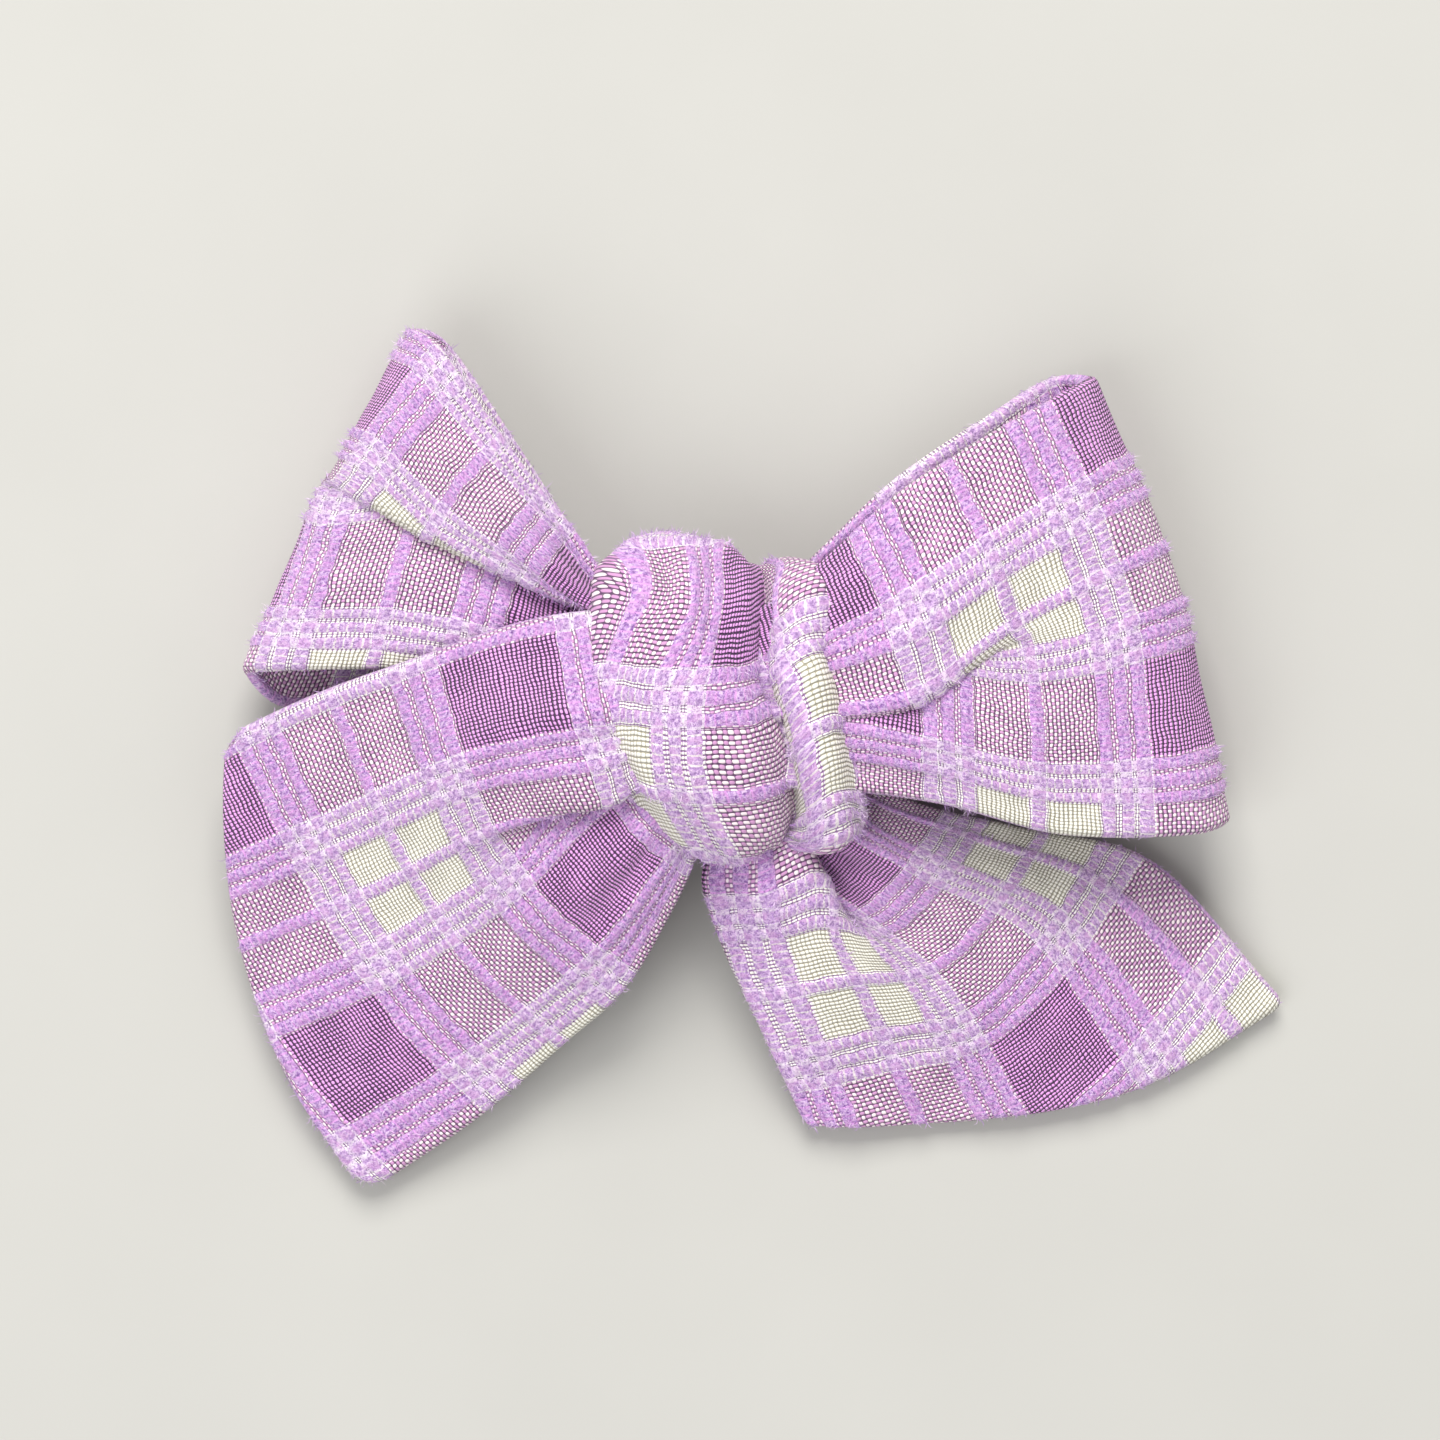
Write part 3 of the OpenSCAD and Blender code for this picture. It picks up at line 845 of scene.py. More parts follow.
@dataclass
class Pile:
    """Loose fibres that stand out of the chenille."""

    per_square_mm: float = 14.0
    length: tuple = (0.3, 1.05)
    width: float = 0.06
    seed: int = 5

    def build(self, name: str, cloth: Cloth, material: bpy.types.Material) -> bpy.types.Object:
        """Plants fibres on both faces of a sheet.

        Args:
            name: The object's name.
            cloth: The sheet, already built.
            material: The fibres' finish.

        Returns:
            The new object.
        """
        draw = np.random.default_rng(self.seed)
        count = int(cloth.area() / (MM * MM) * self.per_square_mm)
        blades = []
        for place, flat, normal in cloth.sides:
            rows, columns = place.shape[:2]
            i, j = draw.integers(0, rows - 1, count), draw.integers(0, columns - 1, count)
            a, b = draw.uniform(0, 1, (2, count, 1))
            def at(grid: np.ndarray) -> np.ndarray:
                """Reads a grid at the drawn places."""
                low = grid[i, j] * (1 - b) + grid[i, j + 1] * b
                high = grid[i + 1, j] * (1 - b) + grid[i + 1, j + 1] * b
                return low * (1 - a) + high * a
            root, cut, up = at(place), at(flat), at(normal)
            on = PLAID.relief(cut[:, 0], cut[:, 1]) > 0.3 * PLAID.rib
            root, up = root[on], up[on]
            total = len(root)
            lean = draw.normal(0, 1, (total, 3))
            long = draw.uniform(*self.length, (total, 1))
            first = up * 0.8 + 0.55 * lean
            first /= np.linalg.norm(first, axis=1, keepdims=True)
            second = first + 0.5 * draw.normal(0, 1, (total, 3))
            second /= np.linalg.norm(second, axis=1, keepdims=True)
            side = np.cross(first, draw.normal(0, 1, (total, 3)))
            side *= self.width / 2 / np.maximum(np.linalg.norm(side, axis=1, keepdims=True), 1e-9)
            base = root - 0.12 * up
            middle = base + first * (0.12 + 0.5 * long)
            tip = middle + second * 0.5 * long
            corners = [base - side, base + side, middle + 0.8 * side, middle - 0.8 * side, tip]
            blades.append(np.stack(corners, axis=1))
        blades = np.concatenate(blades)
        total = len(blades)
        start = 5 * np.arange(total)[:, None]
        faces = np.stack([start + [0, 1, 2, 3], start + [3, 2, 4, 4]], axis=1).reshape(-1, 4)
        tone = np.repeat(draw.uniform(0, 1, total), 2)
        uv = np.repeat(np.stack([tone, tone], axis=1)[:, None, :], 4, axis=1) / UV_SCALE
        log.info("%s: %d fibres", name, total)
        return mesh_piece(name, blades.reshape(-1, 3), faces, uv, material)


# ---------------------------------------------------------------- the wings of the bow


@dataclass
class Wing:
    """One loop or tail of the sewn strip, carried on rails.

    Each rail runs from the middle of the knot to the wing's end, and on a loop round and back. Its
    stations hold a place and the place across the strip, in millimetres. The strip runs from edge
    to crest, under to tuck and out again to the far edge, and swells between them.
    """

    name: str
    edge: tuple
    crest: tuple
    tuck: tuple
    far: tuple
    swell_near: tuple
    swell_far: tuple
    starts: tuple = (0.0, 0.0, 0.0, 0.0)
    paces: tuple = (1.0, 1.0, 1.0, 1.0)
    orchid_at: float = 0.0
    back_z: tuple = ()
    bulge: tuple = (0.0, 0.0, 0.0)
    slip_near: tuple = (0.0, 0.0, 0.0)
    slip_far: tuple = (0.0, 0.0, 0.0)
    fold_ends: float = 30.0
    step: float = 0.32
    thickness: float = 1.5
    seed: int = 1
    width: float = 45.0
    cut_width: float = 45.0
    corner: float = 3.2
    hold: Hold = Hold.FOLDED

    def middle(self, a: np.ndarray, b: np.ndarray, swell: tuple) -> np.ndarray:
        """Returns the rail half way between two rails, pushed out by its swell."""
        rail = (a + b) / 2
        rail[:, :3] += np.asarray(swell, float)
        return rail

    def full_rail(self, rail: np.ndarray, share: float) -> tuple[np.ndarray, int]:
        """Takes a loop's rail round its end and back behind; a tail's stays as it is.

        Args:
            rail: The stations of the front.
            share: Place across the strip, from 0 to 1, for the slip of the back.

        Returns:
            The stations, and the number of the one at the loop's end, or of the last.
        """
        last = len(rail) - 1
        if not self.back_z:
            return rail, last
        heights = np.asarray(self.back_z, float)
        slip = np.asarray(self.slip_near) * (1 - share) + np.asarray(self.slip_far) * share
        back = rail[::-1].copy()
        back[:, 2] = heights[::-1]
        back[:, :3] += slip * np.linspace(1, 0, last + 1)[:, None] ** 0.7
        end = rail[-1].copy()
        end[:3] = (rail[-1, :3] + back[0, :3]) / 2 + np.asarray(self.bulge)
        return np.vstack([rail, end, back]), last + 1

    def surface(self) -> Cloth:
        """Lays the strip on its rails.

        Returns:
            The sheet.
        """
        edge, crest, tuck, far = (np.asarray(r, float) for r in (self.edge, self.crest, self.tuck, self.far))
        near = self.middle(edge, crest, self.swell_near)
        out = self.middle(tuck, far, self.swell_far)
        rails, lengths = [], []
        starts, paces = (np.interp((0, 0.5, 1, 2, 2.5, 3), range(4), by_rail)
                         for by_rail in (self.starts, self.paces))
        for k, (share, rail) in enumerate(((0.0, edge), (0.25, near), (0.5, crest), (0.5, tuck), (0.75, out),
                                           (1.0, far))):
            stations, turn = self.full_rail(rail, share)
            curve = spline(stations)
            cut = turn * 24
            run = arc(curve)[:, None]
            curve = np.hstack([curve, run, starts[k] + paces[k] * run])
            parts = [curve[:cut + 1]] if cut == len(curve) - 1 else [curve[:cut + 1], curve[cut:]]
            rails.append(parts)
            lengths.append([arc(p)[-1] for p in parts])
        rows = [int(np.mean([length[k] for length in lengths]) / self.step) for k in range(len(parts))]
        sampled = []
        for parts in rails:
            runs = [resample(p, rows[k]) for k, p in enumerate(parts)]
            sampled.append(np.vstack([runs[0]] + [r[1:] for r in runs[1:]]))
        grid = np.stack(sampled, axis=1)
        columns = int(self.width / self.step)
        dense = 4 * columns
        sheet = np.empty((len(grid), columns + 1, 6))
        for i, section in enumerate(grid):
            line = resample(section, dense)
            tight = soften(line, 0.9 / self.width * dense)
            loose = soften(line, 4.2 / self.width * dense)
            share = smooth_step((np.mean(section[:, 4]) - 0.55 * self.fold_ends) / (0.6 * self.fold_ends))
            if self.back_z and i > rows[0]:
                share = 1.0
            sheet[i] = resample(tight * (1 - share) + loose * share, columns)
        place, v, run, u = sheet[..., :3], sheet[..., 3], sheet[..., 4], sheet[..., 5]
        if not self.back_z:
            place = self.round_corners(place)
        return Cloth(self.crumple(place, run, v), np.stack([u, v - self.orchid_at], axis=-1),
                     self.thickness)

    def round_corners(self, place: np.ndarray) -> np.ndarray:
        """Draws the two corners of a tail's end in, as a turned-out corner is.

        Args:
            place: The grid of points.

        Returns:
            The moved grid.
        """
        along = np.linalg.norm(np.diff(place, axis=0), axis=2)
        to_end = np.vstack([along[::-1].cumsum(axis=0)[::-1], np.zeros((1, along.shape[1]))])
        across = np.linalg.norm(np.diff(place, axis=1), axis=2)
        from_edge = np.hstack([np.zeros((len(across), 1)), across.cumsum(axis=1)])
        outward = np.gradient(place, axis=0)
        outward /= np.linalg.norm(outward, axis=2, keepdims=True)
        sideways = np.gradient(place, axis=1)
        sideways /= np.linalg.norm(sideways, axis=2, keepdims=True)
        moved = place.copy()
        for edge_gap, sign in ((from_edge, -1), (from_edge[:, -1:] - from_edge, 1)):
            a = np.clip(1 - edge_gap / self.corner, 0, 1)
            b = np.clip(1 - to_end / self.corner, 0, 1)
            pull_a = a * (1 - np.sqrt(1 - b * b / 2)) * self.corner
            pull_b = b * (1 - np.sqrt(1 - a * a / 2)) * self.corner
            moved -= sign * sideways * pull_a[..., None] + outward * pull_b[..., None]
        return moved

    def crumple(self, place: np.ndarray, u: np.ndarray, v: np.ndarray) -> np.ndarray:
        """Adds the small gathers at the knot and the soft unevenness of handled cloth.

        Args:
            place: The grid of points.
            u: Length along the strip.
            v: Place across the strip.

        Returns:
            The moved grid.
        """
        normal = grid_normals(place, False)
        gather = np.exp(-((u - 14) / 9) ** 2) * lattice_noise(v / 3.1, u / 22, self.seed) * 0.55
        broad = lattice_noise(u / 9, v / 8, self.seed + 20) * 0.35
        small = lattice_noise(u / 4, v / 4, self.seed + 40) * 0.12
        return place + normal * (gather + (broad + small))[..., None]

    def make(self, cloth_finish: bpy.types.Material, pile_finish: bpy.types.Material) -> None:
        """Builds the wing and its fibres, fixes them to the bow and logs their size.

        Args:
            cloth_finish: The woven cloth's material.
            pile_finish: The fibres' material.
        """
        sheet = self.surface()
        piece = sheet.build(self.name + "_cloth", cloth_finish)
        fibres = Pile(seed=self.seed + 60).build(self.name + "_pile", sheet, pile_finish)
        length = sheet.run()
        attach(piece, Body.BOW.value)
        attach(fibres, Body.BOW.value)
        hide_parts(self.name)
        log.info("%s: %d faces, %.0f mm long", piece.name, len(piece.data.polygons), length / MM)


# A station's last number, and each wing's starts and paces, come from a least-squares fit of the
# plaid's bands to points marked in the photo. The places and orchid_at were set one by one.
LEFT_TAIL = Wing(
    name="left_tail",
    edge=((-0.2, 7.6, 15.6, -0.5), (-5, 8.6, 16, -0.6), (-13.4, 9, 16.4, -0.7), (-21, 7.7, 16.4, -0.7),
          (-31, 4.3, 15.6, -0.5), (-41, 0.8, 12.4, -0.7), (-51, -3.6, 8.2, -1.2)),
    crest=((-0.2, -1, 15.9, 20.2), (-5.4, -5.6, 17, 20.2), (-10.6, -10.4, 17.2, 20.2),
           (-17, -11.7, 16.4, 20.4), (-24, -13.6, 14.2, 21.1), (-36, -20.4, 8, 22.2),
           (-49.8, -26.6, 3.6, 22.6)),
    tuck=((-0.2, -1.6, 14.6, 26.1), (-5.4, -3.4, 14.2, 26.3), (-10.8, -6.6, 14.2, 26.6),
          (-17.2, -9.2, 13.6, 24.9), (-24, -13, 13, 22.3), (-36, -20.5, 7.8, 22.3),
          (-49.8, -26.7, 3.5, 22.7)),
    far=((-0.2, -7.6, 15.2, 46), (-2.6, -12.6, 13.8, 46.1), (-4.4, -18, 12.4, 46.3),
         (-10, -28.3, 9, 46.4), (-17, -35, 6, 46.6), (-26, -42.6, 3.4, 46.6), (-37.2, -50.2, 1.4, 46.2)),
    starts=(-15.95, -15.98, -15.32, -10.61), paces=(0.9, 0.987, 1.014, 0.962), orchid_at=1.5,
    swell_near=((0, 0, 0), (0, 0, 1), (0, 0, 2.4), (0, 0, 2.6), (0, 0, 1.4), (0, 0, 0.6), (-0.9, -0.2, 0.3)),
    swell_far=((0, 0, 0), (0, 0, 0.8), (0.4, -0.4, 1.8), (0.2, -0.2, 2.4), (0, 0, 1.8), (0, 0, 1),
               (-1.6, -0.6, 0.5)),
    seed=3)

RIGHT_TAIL = Wing(
    name="right_tail",
    edge=((0.2, -7.6, 10, 44.7), (1, -11.6, 9.8, 44.7), (-2.7, -17, 9, 44.7), (-1.4, -23.4, 7.6, 44.6),
          (3.4, -34, 4.6, 44.2), (7.6, -43.3, 1.5, 44.2)),
    crest=((0.2, -3, 11, 35.8), (4.6, -9.4, 11.2, 36.1), (9, -16.6, 10.8, 36.4),
           (12.2, -22.4, 9.2, 34.5), (18.6, -30.6, 6.2, 31.6), (24, -43.1, 1.5, 31.2)),
    tuck=((0.2, -4, 9.6, 28.8), (2.4, -9, 9, 28.8), (5.4, -16, 8.2, 28.4), (10.6, -22.4, 7.4, 28),
          (18.4, -30.6, 6, 29), (24, -43.1, 1.4, 30.4)),
    far=((0.2, 7.6, 10, 1.6), (8, 0.4, 9.4, 1.7), (15, -8.4, 8, 1.8), (28, -12.6, 5, 1.4),
         (42, -15.8, 3.4, 0.4), (56.6, -30.8, 1.3, 0.6)),
    starts=(-1.39, -3.82, -13.16, -18.34), paces=(0.924, 0.92, 1.06, 0.998), orchid_at=15.35,
    swell_near=((0, 0, 0), (0, 0, 0.6), (0, 0, 1.6), (0, 0, 1.2), (0, 0, 0.8), (0, -0.2, 0.3)),
    swell_far=((0, 0, 0), (0, 0, 0.6), (0, 0, 1.6), (0, 0, 2.4), (0, 0, 1.8), (1.6, -3.4, 0.4)),
    fold_ends=26.0, corner=1.6, seed=4)

LEFT_LOOP = Wing(
    name="left_loop",
    edge=((-0.2, 7.6, 12.8, -0.6), (-6, 9.6, 13, -0.7), (-12.8, 11.4, 13.4, -0.8), (-17, 18, 14.4, -0.8),
          (-23, 27, 14.4, -0.9), (-29.4, 35.8, 12.6, -0.8)),
    crest=((-0.2, 2, 13.6, 17.8), (-7, 5.6, 14.4, 17.7), (-14, 9, 15.2, 17.6), (-21, 12, 15.6, 19.2),
           (-30, 16, 14.6, 19.9), (-37.6, 20.4, 11.8, 22)),
    tuck=((-0.2, 4, 12, 28.2), (-7, 7.6, 12.2, 28.3), (-14, 12.4, 12.2, 28.6), (-21, 17, 12.6, 29.8),
          (-30, 21, 12, 29.8), (-37.8, 21.6, 10.4, 28)),
    far=((-0.2, -7.6, 12.4, 48.6), (-6, -3.4, 12.6, 48.8), (-13.4, -0.4, 13, 49.2),
         (-24, 1.6, 13, 49.8), (-35, 3, 11.8, 49.9), (-46.2, 2.8, 9.4, 50.3)),
    starts=(-6.76, -8.38, -10.99, -11.5), paces=(0.909, 0.9, 0.93, 0.87), orchid_at=4.2,
    swell_near=((0, 0, 0), (0, 0, 0.4), (0, 0, 1.4), (0, 0, 2), (0, 0, 1.8), (0, 0, 0.8)),
    swell_far=((0, 0, 0), (0, 0, 0.6), (0, 0, 1.8), (0, 0, 1.6), (0, 0, 1.6), (0, 0, 0.8)),
    back_z=(10, 9.2, 8.4, 7, 5.2, 3.4), bulge=(-2.6, 1.3, 0),
    slip_near=(0.4, 0.8, 0), slip_far=(0.6, -3.4, 0),
    fold_ends=60.0, step=0.36, seed=7, width=50.0)

RIGHT_LOOP = Wing(
    name="right_loop",
    edge=((0.2, 7.6, 15.6, 0), (5, 10.4, 15.8, 0), (10.6, 15.2, 15.8, -0.1), (17, 20.8, 16.6, -0.3),
          (26, 26.6, 16.2, 0), (33.4, 30.8, 13.6, 0.5)),
    crest=((0.2, -1, 16.6, 19.4), (6, -2, 17.4, 19.3), (12, -1.8, 17.8, 19.2), (19, -0.2, 18, 19.2),
           (28, 5.6, 17, 19.4), (41.4, 11.2, 13.2, 21.1)),
    tuck=((0.2, 3, 14.8, 29.2), (6, 3.6, 14.8, 29.2), (12, 4.2, 14.8, 29.3), (19, 4, 15.2, 26.8),
          (28, 6.6, 15.6, 21.6), (41.4, 11, 13, 21.2)),
    far=((0.2, -7.6, 15.4, 46.3), (5, -8.6, 15.4, 46.4), (12.4, -9.2, 15.4, 46.6),
         (21, -10.4, 16, 46.8), (33, -13.4, 15.4, 46.4), (46.6, -13.4, 12.6, 45.6)),
    starts=(-1.76, -4.37, -7.03, -6.41), paces=(0.87, 0.85, 0.95, 0.9), orchid_at=1.5,
    swell_near=((0, 0, 0), (0, 0, 0.8), (0, 0, 1.8), (0, 0, 2), (0, 0, 1.6), (0.6, 0.2, 0.6)),
    swell_far=((0, 0, 0), (0, 0, 0.8), (0, 0, 2.4), (0, 0, 2.2), (0, 0, 1.6), (0.6, 0, 0.8)),
    back_z=(13, 12.9, 12.4, 12, 9.6, 4.8), bulge=(2.9, 0.8, 0), slip_near=(-1, 1.8, 0), slip_far=(0, 0, 0),
    fold_ends=34.0, step=0.36, seed=9)


# ---------------------------------------------------------------- the knot


@dataclass
class Knot:
    """The pleated strip wound once round the middle: two lobes with a deep valley between them.

    Each rib runs across the knot from its left border to its right one, and its stations hold a
    place, given one by one, and the place across the strip. That last number, the starts and the paces
    come from a least-squares fit of the plaid's bands to points marked in the photo.
    """

    ribs: tuple = (
        ((-6, 0, 7.5, -12.5), (-4.6, 0, 7.5, -9.7), (-2.6, 0, 7.5, -5.6), (0.6, 0, 7.5, 3.1),
         (2.2, 0, 7.4, 11), (3.4, 0, 7.5, 17.9), (5.2, 0, 7.5, 21.6), (7.8, 0, 7.5, 26)),
        ((-6.4, 11.6, 9.6, -12.6), (-5.6, 12.4, 9.9, -10.2), (-3, 12.8, 10.2, -7.2),
         (0.5, 12.6, 9.8, 2.7), (2.2, 12.2, 9, 11), (3.2, 12.3, 9.6, 18), (5, 12.4, 9.8, 22),
         (7.8, 11.6, 9.2, 26)),
        ((-12.6, 10.8, 12.2, -12.5), (-12.2, 13.2, 14, -10.6), (-9.2, 15.2, 14.6, -9.6),
         (0.4, 14, 14.4, 2), (3.6, 11.2, 11.8, 11.1), (4.8, 12.6, 14, 18.3), (8.2, 13, 14.6, 22.5),
         (11.4, 10.6, 12.4, 26)),
        ((-13.6, 8.6, 14.4, -12.3), (-12.4, 10, 17, -12), (-7, 10.4, 19.2, -8.3), (1.6, 10, 17.8, 3.8),
         (3.4, 8.8, 13.8, 11.1), (4.5, 9.2, 17.2, 18.9), (7.8, 9.2, 18.6, 22.5), (11.2, 8, 14.2, 25.7)),
        ((-14, 1, 15, -12.2), (-12.6, 1.4, 18, -10.9), (-5.6, 0.8, 20.8, -2.9), (2, 1.8, 18.6, 5.3),
         (3.9, 2.2, 14.2, 11.5), (5, 1.8, 18.2, 18.2), (8, 1.4, 20, 20.5), (11.6, 0.4, 15, 25.9)),
        ((-11.8, -7.4, 14.2, -11.9), (-10.2, -7.8, 17, -8.7), (-3, -8.6, 19.6, -0.9),
         (3.9, -6.6, 17.6, 5.1), (5.7, -6.2, 14, 11.8), (6.9, -6.6, 17.6, 18.8),
         (9.8, -6.8, 18.8, 20.4), (13, -8, 14.4, 26.3)),
        ((-8.6, -11.2, 12, -11.8), (-6.8, -12.8, 13.6, -8.2), (-0.6, -15.6, 14, -2.4),
         (4.2, -14, 13.6, 4.4), (5.6, -12, 11.4, 11.3), (7.4, -13.6, 13.2, 18.1),
         (10.4, -14, 13.8, 20.9), (13.4, -11.8, 12, 26.1)),
        ((-5.4, -11.6, 9.4, -12.3), (-4.8, -12.4, 9.8, -9.2), (-2.4, -13, 10, -4.1),
         (1, -12.8, 9.8, 3.7), (2.6, -12.2, 9, 11.1), (3.6, -12.3, 9.6, 17.9), (5.4, -12.4, 9.8, 21.3),
         (8, -11.6, 9.2, 26.1)))
    starts: tuple = (-13.1, -15.7, -19.4, -14, -7.5, -9.1, -8.8, -4.1)
    paces: tuple = (0.83, 0.83, 0.83, 0.83, 0.83, 0.83, 0.83, 0.83)
    step: float = 0.3
    thickness: float = 1.3
    width: float = 40.0
    seed: int = 13

    def surface(self) -> Cloth:
        """Winds the strip round the middle.

        Returns:
            The sheet.
        """
        ribs = np.asarray(self.ribs, float)
        rails = []
        for k, (start, pace) in enumerate(zip(self.starts, self.paces)):
            rail = spline(ribs[:, k], closed=True)
            run = arc(rail)[:, None]
            rails.append(np.hstack([rail, run, start + pace * run]))
        rows = int(np.mean([rail[-1, 4] for rail in rails]) / self.step)
        grid = np.stack([resample(rail, rows) for rail in rails], axis=1)
        columns = int(self.width / self.step)
        sheet = np.empty((rows + 1, columns + 1, 6))
        for i, section in enumerate(grid):
            line = resample(spline(section, 40), 4 * columns)
            sheet[i] = resample(soften(line, 0.7 / self.width * 4 * columns), columns)
        place, v, run, u = sheet[..., :3], sheet[..., 3], sheet[..., 4], sheet[..., 5]
        normal = grid_normals(place, True)
        around = 2 * math.pi * run / run[-1:]
        pleat = lattice_noise(v / 2.6, 2 + 1.6 * np.cos(around), self.seed) * 0.45
        hand = lattice_noise(5 + 2.2 * np.cos(around), v / 6 + 2.2 * np.sin(around), self.seed + 1) * 0.5
        place = place + normal * (pleat + hand)[..., None]
        place[-1] = place[0]
        return Cloth(place, np.stack([u, v], axis=-1), self.thickness, closed=True)

    def make(self, cloth_finish: bpy.types.Material, pile_finish: bpy.types.Material) -> None:
        """Builds the knot and its fibres, fixes them to the bow and logs their size.

        Args:
            cloth_finish: The woven cloth's material.
            pile_finish: The fibres' material.
        """
        sheet = self.surface()
        piece = sheet.build("knot_wrap_cloth", cloth_finish)
        fibres = Pile(seed=self.seed + 60).build("knot_wrap_pile", sheet, pile_finish)
        length = sheet.run()
        for made in (piece, fibres):
            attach(made, Body.BOW.value)
        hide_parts("knot_wrap")
        log.info("%s: %d faces, %.0f mm long", piece.name, len(piece.data.polygons), length / MM)


# ---------------------------------------------------------------- the clip, its ribbon and the fastenings


def select_only() -> None:
    """Leaves edit mode and lets go of every selected object."""
    if bpy.context.object and bpy.context.object.mode != "OBJECT":
        bpy.ops.object.mode_set(mode="OBJECT")
    bpy.ops.object.select_all(action="DESELECT")


def settle(piece: bpy.types.Object, name: str, material: bpy.types.Material, angle: float = 40.0) -> None:
    """Puts a modelled piece's origin at the frame's, names it and gives it its finish.

    Args:
        piece: The modelled object.
        name: Its name.
        material: Its finish.
        angle: Edges flatter than this many degrees are shaded smooth.
    """
    piece.name = name
    piece.data.name = name
    bpy.ops.object.transform_apply(location=True, rotation=True, scale=True)
    bpy.ops.object.shade_smooth_by_angle(angle=math.radians(angle))
    piece.data.materials.append(material)


def dress(node: bpy.types.Object, material: bpy.types.Material) -> None:
    """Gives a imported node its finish."""
    if not node.material_slots:
        node.data.materials.append(material)
    for slot in node.material_slots:
        slot.material = material


@dataclass
class Clip:
    """The alligator clip: two arms, their pin and the line its ribbon follows, in millimetres."""

    front: float = -20.6
    rear: float = 27.5
    height: float = 5.5
    tip_low: float = 1.05
    tip_run: float = 12.5
    bend: float = 14.0
    bend_radius: float = 4.0
    tab_angle: float = 15.0

    def arm_line(self) -> np.ndarray:
        """Follows the middle of the upper arm from its tip to the end of the thumb tab.

        Returns:
            Places along the clip and heights, one a row.
        """
        share = np.linspace(0, 1, 9)
        nose = np.stack([self.front + share * self.tip_run,
                         self.tip_low + (self.height - self.tip_low) * np.sin(math.pi / 2 * share)], axis=1)
        turn = np.radians(np.linspace(0, self.tab_angle, 4))
        knee = np.stack([self.bend + self.bend_radius * np.sin(turn),
                         self.height + self.bend_radius * (1 - np.cos(turn))], axis=1)
        climb = (self.rear - knee[-1, 0]) * math.tan(turn[-1])
        return np.vstack([nose, knee, [[self.rear, knee[-1, 1] + climb]]])

    def make(self, steel: bpy.types.Material) -> None:
        """Dresses the arms and the pin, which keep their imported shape."""
        for node in ("lower_arm", "upper_arm", "hinge_pin"):
            dress(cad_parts[node], steel)
            log.info("%s: packed shape, nickel", node)


@dataclass
class TorsionSpring:
    """The coiled wire round the pin, with a leg along each arm, in millimetres and degrees."""

    pivot: tuple = (11.0, 0.0, 3.0)
    wire: float = 0.6
    coil_radius: float = 1.42
    turns: int = 4
    leg: float = 8.4
    upper_slope: float = 7.8
    lower_slope: float = -2.6
    half_width: float = 2.1
    steps_per_turn: int = 24
    sides: int = 16

    def extrude(self, move: tuple) -> None:
        """Draws the selected end face out by a move in millimetres."""
        bpy.ops.mesh.extrude_region_move(TRANSFORM_OT_translate={"value": tuple(MM * c for c in move)})

    def make(self, steel: bpy.types.Material) -> None:
        """Draws the wire from the upper leg's end through the coil to the lower leg's end.

        Args:
            steel: The wire's material.
        """
        slope = math.radians(self.upper_slope)
        ahead = (math.cos(slope), 0.0, math.sin(slope))
        px, _, pz = self.pivot
        coil_start = (px - self.coil_radius * math.sin(slope), self.half_width,
                      pz + self.coil_radius * math.cos(slope))
        leg_end = tuple(MM * (c + self.leg * d) for c, d in zip(coil_start, ahead))
        select_only()
        bpy.ops.mesh.primitive_circle_add(
            vertices=self.sides, radius=self.wire / 2 * MM, fill_type="NGON", location=leg_end,
            rotation=(0, math.pi / 2 - slope, 0))
        piece = bpy.context.object
        bpy.ops.object.transform_apply(location=True, rotation=True, scale=True)
        bpy.ops.object.mode_set(mode="EDIT")
        bpy.ops.mesh.select_all(action="SELECT")
        self.extrude(tuple(-self.leg * d for d in ahead))
        steps = self.steps_per_turn * self.turns + self.steps_per_turn // 2
        sweep = math.radians(180 + self.lower_slope - self.upper_slope + 360 * self.turns)
        centre = (px * MM, 0.0, pz * MM)
        for _ in range(steps):
            self.extrude((0.0, -2 * self.half_width / steps, 0.0))
            bpy.ops.transform.rotate(value=sweep / steps, orient_axis="Y", center_override=centre)
        lower = math.radians(self.lower_slope)
        self.extrude((self.leg * math.cos(lower), 0.0, self.leg * math.sin(lower)))
        bpy.ops.mesh.select_all(action="SELECT")
        bpy.ops.mesh.normals_make_consistent(inside=False)
        bpy.ops.object.mode_set(mode="OBJECT")
        settle(piece, "torsion_spring_wire", steel)
        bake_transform(piece)
        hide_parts("torsion_spring")
        log.info("%s: %d turns, %d faces", piece.name, self.turns, len(piece.data.polygons))


